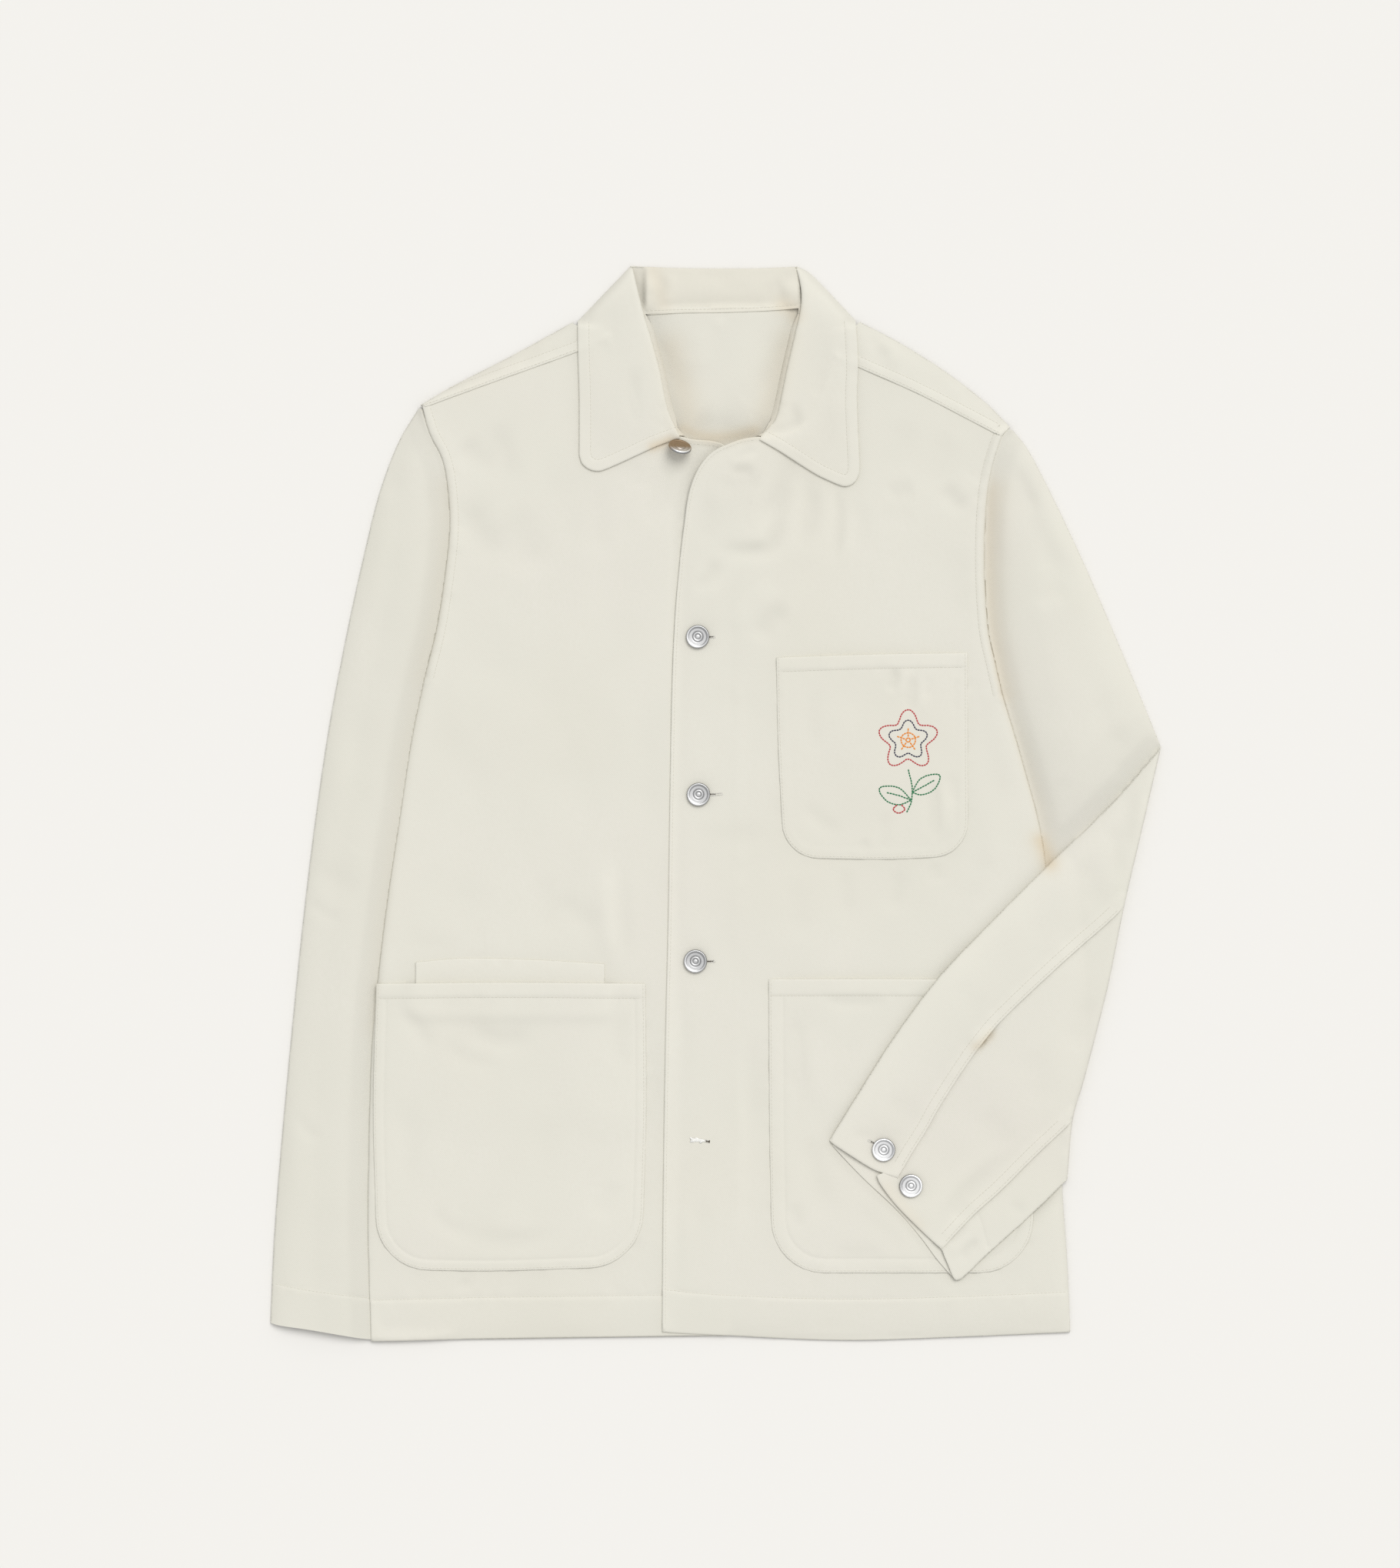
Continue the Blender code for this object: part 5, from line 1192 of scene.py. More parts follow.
P, F = skin(UNDER_S, 6 * MM, (0.5,))
PIECES["sleeve_right_under"] = cloth_flat("sleeve_right_under_cloth", P, F, np.full(len(P), T), np.zeros(len(P)), DRILL)
add_stitches("sleeve_right_top", [hem_sr], top_slr, SEEN_R, 100)

# back, with its shoulder flaps
c = Cloth()
P, F = skin(BACK, 2.6 * MM, (0.15, 0.6, 1.4), fine=NECK_HOLE | (D_BODY < 6 * MM), coarse=8 * MM)
D_YK = np.minimum(field(yoke_r, 30 * MM)[0], field(yoke_l, 30 * MM)[0])


def bot_back(P):
    return tube(P, lambda q: np.maximum(sample(Z_FLAP, q), sample(Z_BACK, q)), lambda q: sample(Z_BACK, q) - T, [shoulder_r, shoulder_l], False)


def top_flap(P):
    z = tube(P, on(Z_FLAP), lambda q: sample(Z_BACK, q) - T, [shoulder_r, shoulder_l], True)
    z += round_edge(P, yoke_r, 2.2, 0.75) + round_edge(P, yoke_l, 2.2, 0.75)
    for k, ln in enumerate((yoke_r, yoke_l)):
        sgn = -1 if k == 0 else 1
        z += seam(P, shift(ln, sgn * 1.7 * MM), 0.18, 0.14, 6.0, 3.0, 80 + k) + seam(P, shift(ln, sgn * 7.5 * MM), 0.22, 0.2, 8.0, 4.0, 84 + k)
        z += band_up(P, ln, 7.5, 0.35)
    return z


c.add(P, F, bot_back(P), False, folds=[shoulder_r, shoulder_l])
for o, ln, sgn in ((FLAP_R, yoke_r, -1), (FLAP_L, yoke_l, 1)):
    P, F = skin(o, FINE, (0.15, 0.5, 1.2, 2.4), [(shift(ln, sgn * 7.5 * MM), (0, -0.8, 0.8))])
    c.add(P, F, top_flap(P), True, folds=[shoulder_r, shoulder_l])
PIECES["back"] = c.build("back_cloth", DRILL)
AREAS["back"] = c.area
flap_mask = M_FLAP & ~(M_LEAFR | M_LEAFL)
add_stitches("back", [shift(yoke_r, -1.7 * MM)[1:-1], shift(yoke_l, 1.7 * MM)[1:-1], shift(yoke_r, -7.5 * MM)[1:-3], shift(yoke_l, 7.5 * MM)[1:-3]], top_flap, flap_mask, 110)

# fronts
arm_line_r, arm_line_l = shift(arm_r, 6.4 * MM)[2:], shift(arm_l, -6.4 * MM)[2:]
arm_edge_r, arm_edge_l = shift(arm_r, 1.7 * MM)[2:], shift(arm_l, -1.7 * MM)[2:]
hem_line_r = curve((482, 1689), (560, 1687), (654, 1685), (800, 1683), (944, 1682))
hem_line_l = curve((862, 1675), (940, 1682), (1093, 1687.5), (1250, 1684), (1389, 1678))
face_line = straight((962, 600), (963, 1676))
edge_line = shift(edge_l, 2.2 * MM)
neck_band_r = shift(edge_r[:26], -3.2 * MM)


def top_fr(P):
    z = sample(Z_FR, P)
    z += round_edge(P, arm_r, 3.4, 1.25) + round_edge(P, side_r, 2.6, 0.9) + round_edge(P, hem_r, 1.5, 0.7) + round_edge(P, edge_r, 1.4, 0.7)
    z += band_up(P, arm_r, 6.4, 0.55) + band_up(P, hem_r, 29.5, 0.45) + band_up(P, edge_r[:30], 3.2, 0.9, 0.8)
    z += seam(P, arm_line_r, 0.25, 0.26, 8.0, 4.5, 91) + seam(P, hem_line_r, 0.25, 0.3, 9.0, 6.0, 92) + seam(P, neck_band_r, 0.25, 0.12, 5.0, 2.0, 93)
    return z


def top_fl(P):
    z = sample(Z_FL, P)
    z += round_edge(P, arm_l, 3.4, 1.25) + round_edge(P, side_l, 2.6, 0.9) + round_edge(P, hem_l, 1.5, 0.7) + round_edge(P, edge_l, 1.6, 0.9)
    z += band_up(P, arm_l, 6.4, 0.55) + band_up(P, hem_l, 29.5, 0.45) + band_up(P, edge_l, 2.2, 0.5, 0.8)
    z += seam(P, arm_line_l, 0.25, 0.26, 8.0, 4.5, 94) + seam(P, hem_line_l, 0.25, 0.3, 9.0, 6.0, 95) + seam(P, edge_line, 0.12, 0.14, 9.0, 3.0, 96)
    z += seam(P, face_line, 0.1, 0.1, 9.0, 3.0, 97)
    return z


def turned(P, low, line, Z, M):
    """The seam allowance turned under along a line fills the step down to the sleeve."""
    on_sleeve = (near(P, line, 3 * MM)[0] < 0.5 * MM) & (sample(M.astype(float), P) > 0.9)
    return np.where(on_sleeve, np.minimum(low, sample(Z, P) - 0.2 * MM), low)


def beside_pocket(P, names):
    z = np.zeros(len(P))
    for n in names:
        z += seam(P, POCKETS[n][1], 0.0, 0.2, 8.0, 6.0, 98 + len(n))
    return z


P, F = skin(FRONT_R, FINE, (0.25, 0.7, 1.4), [(arm_line_r, (0, -0.9, 0.9)), (hem_line_r, (0, -0.9, 0.9)), (edge_r[:30], (-4.2,))], fine=(PX < 878) | (PY < 640))
z = top_fr(P) + beside_pocket(P, ["pocket_right"])
PIECES["front_right"] = cloth_flat("front_right_cloth", P, F, z, turned(P, np.maximum(sample(Z_FR, P) - T, 0), np.vstack([arm_r, side_r[1:]]), Z_SLR, M_SLR), DRILL)
add_stitches("front_right", [arm_line_r, hem_line_r[1:], neck_band_r[1:-1]], top_fr, (PX < 864) | (PY < 640), 120)
P, F = skin(FRONT_L, FINE, (0.25, 0.7, 1.4), [(arm_line_l, (0, -0.9, 0.9)), (hem_line_l, (0, -0.9, 0.9)), (edge_line, (0.9,))], fine=~M_FORE | (D_FORE < 8 * MM))
z = top_fl(P) + beside_pocket(P, ["pocket_left", "chest_pocket"])
PIECES["front_left"] = cloth_flat("front_left_cloth", P, F, z, turned(P, np.maximum(np.minimum(sample(Z_FL, P) - T, z - 1.2 * MM), sample(LOW_FL, P) - 0.2 * MM), np.vstack([arm_l, side_l[1:]]), Z_UPL, M_UPL), DRILL)
add_stitches("front_left", [arm_line_l, hem_line_l[1:-1], edge_line[2:-2]], top_fl, ~M_FORE, 130)

# collar stand
stand_line = curve((840, 404.5), (885, 403.6), (935, 403), (990, 401), (1036, 397))


def top_st(P):
    z = sample(Z_ST, P)
    D = near(P, top_back, 5 * MM)[0]
    t = np.clip(1 - D / (2.4 * MM), 0, 1)
    z -= 1.3 * MM * (1 - np.sqrt(np.clip(1 - t * t, 0, 1)))
    z += round_edge(P, np.vstack([roll_r]), 1.6, 0.9) + round_edge(P, roll_l, 1.6, 0.9)
    z += seam(P, stand_line, 0.25, 0.2, 6.0, 3.0, 141)
    return z


P, F = skin(STAND, 2.0 * MM, (0.3, 0.8, 1.6), [(stand_line, (0, -0.8, 0.8))])
z = top_st(P)
z = np.maximum(z, 1.2 * MM)
PIECES["collar_stand"] = cloth_flat("collar_stand_cloth", P, F, z, np.maximum(z - 0.9 * MM, 0), DRILL_INSIDE_PAINTED_SHADE)
add_stitches("collar_stand", [stand_line], top_st, None, 140)

# collar fall: leaves in front, the rest under the back neck
leaf_line_r, leaf_line_l = shift(leaf_out_r, -8.2 * MM), shift(leaf_out_l, 8.2 * MM)


def tidy(line, edge, d):
    return line[near(line, edge, 12 * MM)[0] > 0.94 * d * MM]


leaf_line_r, leaf_line_l = tidy(leaf_line_r, leaf_out_r, 8.2), tidy(leaf_line_l, leaf_out_l, 8.2)


def top_leaf(P):
    z = tube(P, on(Z_LF), lambda q: np.zeros(len(q)), [leaf_fold_r, leaf_fold_l], True)
    for k, (out, ln, roll) in enumerate(((leaf_out_r, leaf_line_r, roll_r), (leaf_out_l, leaf_line_l, roll_l))):
        z += round_edge(P, out, 1.7, 0.85) + band_up(P, out, 8.2, 0.35) + seam(P, ln, 0.22, 0.12, 9.0, 3.0, 150 + k)
        z += round_edge(P, roll, 5.0, 3.2)
    return z


c = Cloth()
for o, ln in ((LEAF_R, leaf_line_r), (LEAF_L, leaf_line_l)):
    P, F = skin(o, 2.0 * MM, (0.2, 0.6, 1.3, 2.4), [(ln, (0, -0.8, 0.8))])
    c.add(P, F, top_leaf(P), True, 1.2 * MM, folds=[leaf_fold_r, leaf_fold_l])
P, F = skin(FALL, 5 * MM, (0.2, 0.6, 1.3, 2.4))
z = tube(P, on(np.where(M_LEAFR | M_LEAFL, Z_LF, 3.4 * MM)), lambda q: np.zeros(len(q)), [leaf_fold_r, leaf_fold_l], False)
z += 1.1 * MM * (1 - np.sqrt(1 - np.clip(1 - near(P, top_back, 5 * MM)[0] / (1.6 * MM), 0, 1) ** 2))
c.add(P, F, z, False, 0.8 * MM, folds=[leaf_fold_r, leaf_fold_l])
PIECES["collar_fall"] = c.build("collar_fall_cloth", DRILL)
AREAS["collar_fall"] = c.area
add_stitches("collar_fall", [leaf_line_r, leaf_line_l], top_leaf, None, 150)

# pockets
P, F = skin(WELT, 2.2 * MM, (0.25, 0.7, 1.4))
welt_line = curve((544, 1263), (660, 1260), (783, 1265))


def top_welt(P):
    return sample(Z_WELT, P) + round_edge(P, closed(WELT), 1.3, 0.6) + seam(P, closed(WELT), 0.0, 0.2, 8.0, 4.0, 160)


PIECES["inner_pocket"] = cloth_flat("inner_pocket_cloth", P, F, top_welt(P), sample(LOW_WELT, P), DRILL)
POCKET_LINES, TOPS = {}, {}
for n, (m, r) in POCKETS.items():
    hem_w = {"chest_pocket": 10.2, "pocket_right": 10.6, "pocket_left": 12.0}[n]
    mouth_line = shift(m, -hem_w * MM)
    ok = sample(M_P[n].astype(float), mouth_line) > 0.9
    mouth_line = mouth_line[ok][1:-1]
    edge_st = shift(r, 1.7 * MM)
    edge_st = edge_st[(near(edge_st, r, 6 * MM)[0] > 1.6 * MM)]
    lines = [mouth_line, edge_st]
    if n != "chest_pocket":
        inner = shift(r, 7.6 * MM if n == "pocket_right" else 10.5 * MM)
        inner = inner[near(inner, r, 16 * MM)[0] > (7.4 if n == "pocket_right" else 10.2) * MM]
        inner = inner[near(inner, m, 30 * MM)[0] > (hem_w + 1) * MM]
        lines.append(inner)
    POCKET_LINES[n] = lines

    def top_p(P, n=n, m=m, r=r, lines=lines, hem_w=hem_w):
        z = sample(Z_P[n], P) + round_edge(P, r, 2.0, 0.8) + round_edge(P, m, 2.0, 0.8)
        z += band_up(P, m, hem_w, 0.4) + band_up(P, r, 7.0, 0.2)
        z += seam(P, lines[0], 0.22, 0.2, 8.0, 4.0, 170 + len(n)) + seam(P, r, 0.0, 0.22, 7.0, 4.0, 180 + len(n)) + seam(P, lines[1], 0.16, 0.1, 6.0, 2.5, 190 + len(n))
        if len(lines) > 2:
            z += seam(P, lines[2], 0.3, 0.12, 11.0, 4.0, 200 + len(n))
        return z

    TOPS[n] = top_p
    P, F = skin(P_RING[n], 2.1 * MM, (0.25, 0.7, 1.4), [(ln, (0, -0.8, 0.8)) for ln in lines[:1] + lines[2:]])
    z = top_p(P)
    PIECES[n] = cloth_flat(n + "_cloth", P, F, z, np.maximum(sample(LOW_P[n], P), z - 2.4 * MM), DRILL)
    add_stitches(n, lines[:2], top_p, ~M_FORE, 160 + 10 * len(n))

# wearer's left sleeve
s_out = shift(upper_out, -back_seam_out)
seam_out_l = curve((1461, 1177), (1380, 996), (1291, 812))
seam_in_l = curve((1394, 1455), (1300, 1225), (1232, 1062), (1212, 1012))
UPPER_A = ring(upper_out, fold_in[3:], upper_in[1:], arm_l_in[::-1][3:-2])
U_OUT = ring(upper_out, fold_a[1:], seam_out_l[1:], cut(arm_l_in, lambda p: p[1] > at(0, 806)[1])[2:][::-1])
U_IN = ring(seam_in_l, cut(upper_in, lambda p: p[1] < at(0, 1020)[1])[::-1], fold_b[::-1])
U_MID = ring(seam_out_l[::-1], fold_m[1:], seam_in_l[1:], px((1222, 990), (1296, 925)), cut(arm_l_in, lambda p: p[1] < at(0, 822)[1])[:-2][::-1])
SEEN_U = ((~BODY_MASK) | (D_BODY < 8 * MM)) & ((~M_FORE) | (D_FORE < 8 * MM))


def zero(P):
    return np.zeros(len(P))


def half_a(P):
    return sample(Z_B2, P)


def top_upl(P):
    z = tube(P, on(Z_UPL), zero, [upper_out, upper_in], True)
    D = near(P, fold_in, 6 * MM)[0]
    z2 = 0.5 * (sample(Z_UPL, P) + sample(LOW_FA, P))
    return z + np.clip(z2 - z, -1 * MM, 2 * MM) * np.clip(1 - D / (3 * MM), 0, 1) ** 2


def low_fa(P):
    z = tube(P, lambda q: sample(Z_B2, q), on(LOW_FA), [fore_up, fore_low], False)
    D = near(P, fold_in, 6 * MM)[0]
    z2 = 0.5 * (sample(Z_UPL, P) + sample(LOW_FA, P))
    return z + np.clip(z2 - z, -2 * MM, 1 * MM) * np.clip(1 - D / (3 * MM), 0, 1) ** 2


def strip(Z):
    def top(P):
        z = tube(P, on(Z), on(LOW_FA), [fore_up, fore_low], True)
        hi, mid = sample(Z, P), 0.5 * sample(Z_B2, P)
        D = near(P, fold_l, 8 * MM)[0]
        r = np.maximum(mid, 1 * MM)
        t = np.clip(1 - D / r, 0, 1)
        return np.minimum(z, mid + (hi - mid) * np.sqrt(np.clip(1 - t * t, 0, 1)))
    return top


def low_b(P):
    z = tube(P, on(Z_UPL), zero, [upper_out, upper_in], False)
    mid = 0.5 * sample(Z_B2, P)
    D = near(P, fold_l, 8 * MM)[0]
    t = np.clip(1 - D / np.maximum(mid, 1 * MM), 0, 1)
    return np.maximum(z, mid - mid * np.sqrt(np.clip(1 - t * t, 0, 1)))


hem_out = curve((1106, 1440), (1140, 1462), (1175, 1478), (1192, 1484))
hem_in = curve((1272, 1580), (1276, 1592), (1281, 1610), (1284, 1620))
hem_mid = curve((1196, 1500), (1215, 1540), (1240, 1572), (1262, 1580))
st_a, st_a2 = shift(seam_a, -1.7 * MM), shift(seam_a, -7.4 * MM)
st_b, st_b2 = shift(seam_b, -1.7 * MM), shift(seam_b, -7.4 * MM)
plain_out, plain_mid, plain_in = strip(Z_OUT), strip(Z_MID), strip(Z_IN)


def top_out(P):
    z = plain_out(P) + round_edge(P, seam_a, 0.8, 0.3) + round_edge(P, flap_cuff, 2.8, 1.1)
    z += band_up(P, seam_a, 7.4, 0.15) + seam(P, st_a, 0.05, 0.08, 6, 3, 211) + seam(P, st_a2, 0.1, 0.2, 8.0, 5.0, 212) + seam(P, hem_out, 0.08, 0.1, 8, 4, 213)
    return z


def top_mid(P):
    z = plain_mid(P) + round_edge(P, seam_b, 0.8, 0.3) + round_edge(P, main_cuff, 2.8, 1.1)
    z += band_up(P, seam_b, 7.4, 0.15) + seam(P, st_b, 0.05, 0.08, 6, 3, 214) + seam(P, st_b2, 0.1, 0.2, 8.0, 5.0, 215) + seam(P, hem_mid, 0.08, 0.1, 8, 4, 216)
    return z


def top_in(P):
    return plain_in(P) + round_edge(P, end_cuff, 1.5, 0.7) + seam(P, hem_in, 0.25, 0.2, 7, 3, 217) + band_up(P, end_cuff, 29, 0.3)


c = Cloth()
P, F = skin(UPPER_A, FINE, (0.12, 0.4, 0.9, 1.8), [(np.vstack([arm_l, side_l[1:]]), (-0.7, 0, 0.8, 1.8, 3.2))], fine=SEEN_U)
c.add(P, F, top_upl(P), True, folds=[upper_out, upper_in, fold_in])
P, F = skin(UNDER_A, 5 * MM, (0.12, 0.4, 0.9, 1.8))
c.add(P, F, low_fa(P), False, folds=[fore_up, fore_low, fold_in])
for o, f in ((U_OUT, [upper_out, fold_a]), (U_IN, [upper_in, fold_b])):
    P, F = skin(o, 5 * MM, (0.12, 0.4, 0.9, 1.8, 3.2))
    c.add(P, F, low_b(P), False, folds=f)
P, F = skin(FORE_OUT, FINE, (0.12, 0.4, 0.9, 1.8, 3.2), [(st_a2, (0, -0.8, 0.8))])
c.add(P, F, top_out(P), True, folds=[fore_up, fold_a])
P, F = skin(FORE_IN, FINE, (0.12, 0.4, 0.9, 1.8, 3.2), [(hem_in, (0, -0.8, 0.8))])
c.add(P, F, top_in(P), True, folds=[fore_low, fold_b])
PIECES["sleeve_left_top"] = c.build("sleeve_left_top_cloth", DRILL)
AREAS["sleeve_left_top"] = c.area
c = Cloth()
P, F = skin(U_MID, 6 * MM, (0.4, 1.2, 2.4))
c.add(P, F, low_b(P), False, folds=[fold_m])
P, F = skin(FORE_MID, FINE, (0.12, 0.4, 0.9, 1.8, 3.2), [(st_b2, (0, -0.8, 0.8))])
c.add(P, F, top_mid(P), True, folds=[fold_m])
PIECES["sleeve_left_under"] = c.build("sleeve_left_under_cloth", DRILL)
AREAS["sleeve_left_under"] = c.area
add_stitches("sleeve_left_top", [st_a[3:-4], st_a2[4:-4], hem_in[1:-1]], top_out, M_OUT & (D_FORE > 2 * MM), 210)
add_stitches("sleeve_left_under", [st_b[3:-3], st_b2[4:-4]], top_mid, M_MID & (D_FORE > 2 * MM), 220)


# ---------------------------------------------------------------- buttons
METAL = bpy.data.materials.new("button_metal_brushed")
METAL.use_nodes = True
b = METAL.node_tree.nodes["Principled BSDF"]
b.inputs["Metallic"].default_value = 1.0
b.inputs["Roughness"].default_value = 0.42
nt = METAL.node_tree
co = nt.nodes.new("ShaderNodeTexCoord")
t = nt.nodes.new("ShaderNodeTexNoise")
t.inputs["Scale"].default_value = 700.0
nt.links.new(co.outputs["Object"], t.inputs["Vector"])
r = nt.nodes.new("ShaderNodeMix")
r.data_type = "RGBA"
r.inputs["A"].default_value = (0.70, 0.70, 0.70, 1)
r.inputs["B"].default_value = (0.60, 0.60, 0.605, 1)
nt.links.new(t.outputs["Fac"], r.inputs["Factor"])
# painted shade and painted highlight of the turned rings: dark in the grooves, bright on the rim
sh = nt.nodes.new("ShaderNodeAttribute")            # the turned rings: dark in the grooves, bright on the rim
sh.attribute_name = "tone_and_painted_shading"
ml = nt.nodes.new("ShaderNodeMix")
ml.data_type = "RGBA"
ml.blend_type = "MULTIPLY"
ml.inputs["Factor"].default_value = 1.0
nt.links.new(r.outputs["Result"], ml.inputs["A"])
nt.links.new(sh.outputs["Fac"], ml.inputs["B"])
nt.links.new(ml.outputs["Result"], b.inputs["Base Color"])
bp = nt.nodes.new("ShaderNodeBump")
bp.inputs["Strength"].default_value = 0.04
bp.inputs["Distance"].default_value = 0.05 * MM
nt.links.new(t.outputs["Fac"], bp.inputs["Height"])
nt.links.new(bp.outputs["Normal"], b.inputs["Normal"])

PROFILE = [(0.0, -0.38), (0.22, -0.38), (0.26, -0.33), (0.26, 0.0), (0.30, 0.05), (0.60, 0.08), (0.90, 0.13), (0.965, 0.24), (1.0, 0.42), (1.0, 0.60), (0.985, 0.80),
           (0.955, 0.93), (0.92, 0.985), (0.88, 1.0), (0.84, 0.985), (0.80, 0.93), (0.765, 0.87), (0.73, 0.845), (0.68, 0.84), (0.60, 0.84), (0.52, 0.835), (0.475, 0.81),
           (0.45, 0.765), (0.425, 0.80), (0.40, 0.90), (0.375, 0.95), (0.34, 0.965), (0.30, 0.955), (0.265, 0.92), (0.235, 0.895), (0.19, 0.89), (0.155, 0.92),
           (0.12, 0.95), (0.06, 0.958), (0.0, 0.96)]


# the neck button gets painted shade: its colour turns warm and dull above, as in the collar's shade, and stays bright
# along its lower rim
METAL_NECK = METAL.copy()
METAL_NECK.name = "button_metal_shaded"
nt = METAL_NECK.node_tree
b = nt.nodes["Principled BSDF"]
sep = nt.nodes.new("ShaderNodeSeparateXYZ")
nt.links.new([n for n in nt.nodes if n.bl_idname == "ShaderNodeTexCoord"][0].outputs["Object"], sep.inputs[0])
mr = nt.nodes.new("ShaderNodeMapRange")
mr.inputs["From Min"].default_value, mr.inputs["From Max"].default_value = 0.2550, 0.2592
nt.links.new(sep.outputs["Y"], mr.inputs["Value"])
mx = nt.nodes.new("ShaderNodeMix")
mx.data_type = "RGBA"
nt.links.new(mr.outputs["Result"], mx.inputs["Factor"])
nt.links.new([n for n in nt.nodes if n.bl_idname == "ShaderNodeMix" and n.blend_type == "MULTIPLY"][0].outputs["Result"], mx.inputs["A"])
mx.inputs["B"].default_value = (0.36, 0.26, 0.17, 1)
nt.links.new(mx.outputs["Result"], b.inputs["Base Color"])


# painted shade and painted highlight across the button's radius: dark in the grooves and at the outer edge, bright on
# the rim
PAINTED_RING_SHADING = [(0.0, 1.0), (0.13, 1.05), (0.19, 0.50), (0.265, 0.60), (0.31, 1.10), (0.38, 1.0), (0.43, 0.50), (0.475, 0.55), (0.52, 0.95), (0.68, 1.0), (0.74, 0.68), (0.80, 0.70), (0.85, 1.05), (0.92, 1.12),
         (0.955, 0.80), (0.985, 0.42), (1.01, 0.36)]


def button(name, tilt, level, glint, spin=0.0):
    lo, hi = BUTTON[name]
    R, TH = 8.5 * MM, 2.6 * MM
    a = math.radians(tilt)
    n = 56
    V = [(0, 0, PROFILE[0][1] * TH)]
    for r_, z_ in PROFILE[1:-1]:
        V += [(r_ * R * math.cos(k * 2 * math.pi / n), r_ * R * math.sin(k * 2 * math.pi / n), z_ * TH) for k in range(n)]
    V.append((0, 0, PROFILE[-1][1] * TH))
    F = []
    m = len(PROFILE) - 2
    for k in range(n):
        j = (k + 1) % n
        F.append((0, 1 + j, 1 + k))
        for q in range(m - 1):
            A0, B0, A1, B1 = 1 + q * n + k, 1 + q * n + j, 1 + (q + 1) * n + k, 1 + (q + 1) * n + j
            F += [(A0, B0, B1), (A0, B1, A1)]
        F.append((1 + (m - 1) * n + k, 1 + (m - 1) * n + j, len(V) - 1))
    V = np.array(V)
    ca, sa = math.cos(-a), math.sin(-a)
    rad, ang = np.hypot(V[:, 0], V[:, 1]) / R, np.degrees(np.arctan2(V[:, 1], V[:, 0]))
    shade = np.interp(rad, *np.array(PAINTED_RING_SHADING).T) * level
    # painted glint: the rim is lighter on the side towards the angle glint and darker on the other
    shade *= 1 + np.where((rad > 0.8) & (rad < 0.99), 0.34, 0.05) * np.cos(np.radians(ang - glint))
    V = np.column_stack([V[:, 0], V[:, 1] * ca - V[:, 2] * sa, V[:, 1] * sa + V[:, 2] * ca])
    cs, sn = math.cos(math.radians(spin)), math.sin(math.radians(spin))
    V = np.column_stack([V[:, 0] * cs - V[:, 1] * sn, V[:, 0] * sn + V[:, 1] * cs, V[:, 2]])
    V += np.array([(lo[0] + hi[0]) / 2, (lo[1] + hi[1]) / 2, (lo[2] + hi[2]) / 2]) - (V.max(0) + V.min(0)) / 2
    ob = to_mesh(name + "_metal", V, np.array(F), METAL_NECK if "neck" in name else METAL, 60)
    ob.data.attributes.new("tone_and_painted_shading", "FLOAT", "POINT").data.foreach_set("value", np.ascontiguousarray(shade, np.float32))
    return ob


for n in BUTTON:
    if "neck" in n:
        PIECES[n] = button(n, 54.0, 1.15, 270, -16.0)
    elif "front" in n:
        PIECES[n] = button(n, 0.0, 0.90, 225)
    else:
        PIECES[n] = button(n, 0.0, 1.25, 200 if n.endswith("1") else 330)


# ---------------------------------------------------------------- buttonholes
# painted shade: near-black bars laid in the buttonholes' slits, where the opening is in shade
SLIT = thread_material("slit_shade", (0.08, 0.065, 0.045, 1.0), 0.9)
WHITE = thread_material("thread_buttonhole", (0.80, 0.78, 0.72, 1.0))
LOOSE = thread_material("thread_buttonhole_loose", (0.93, 0.92, 0.88, 1.0))


def satin(line, side, wide, pitch=0.42, seed=5, gap=0.25):
    """Close short bars across one lip of a buttonhole."""
    q = even(line, pitch * MM)
    t = np.gradient(q, axis=0)
    t /= np.linalg.norm(t, axis=1)[:, None]
    nrm = np.column_stack([-t[:, 1], t[:, 0]]) * side
    rng = np.random.RandomState(seed)
    w = wide * MM * (1 + 0.18 * rng.uniform(-1, 1, len(q)))[:, None]
    return q + nrm * gap * MM, q + nrm * (gap * MM + w)


def buttonhole(owner, line, top, gap, seed, both=True):
    segs = []
    for side in ((1, -1) if both else (1,)):
        a, b = satin(line, side, 1.15, seed=seed + side, gap=gap)
        za, zb = top(a), top(b)
        segs += [(a[i], b[i], za[i], zb[i]) for i in range(len(a))]
    ends = even(line, 99)
    tip = ends[-1] - ends[0]
    tip /= np.linalg.norm(tip)
    nrm = np.array([-tip[1], tip[0]])
    for e, sg in ((ends[0], -1), (ends[-1], 1)):
        for k in range(3):
            p = e + tip * sg * (0.3 + 0.35 * k) * MM
            a, b = p - nrm * 1.2 * MM, p + nrm * 1.2 * MM
            segs.append((a, b, top(a[None])[0], top(b[None])[0]))
    STITCH["hole_" + owner + str(seed)] = thread_mesh("buttonhole_" + owner + str(seed), segs, WHITE, 0.44, 0.26, 0.02)


def slit(owner, line, top, seed, width=0.8):
    q = even(line, 1.2 * MM)
    z = top(q)
    STITCH["slit_" + owner + str(seed)] = thread_mesh("slit_" + owner + str(seed), [(q[i], q[i + 1], z[i], z[i + 1]) for i in range(len(q) - 1)], SLIT, width, 0.42, 0.01)


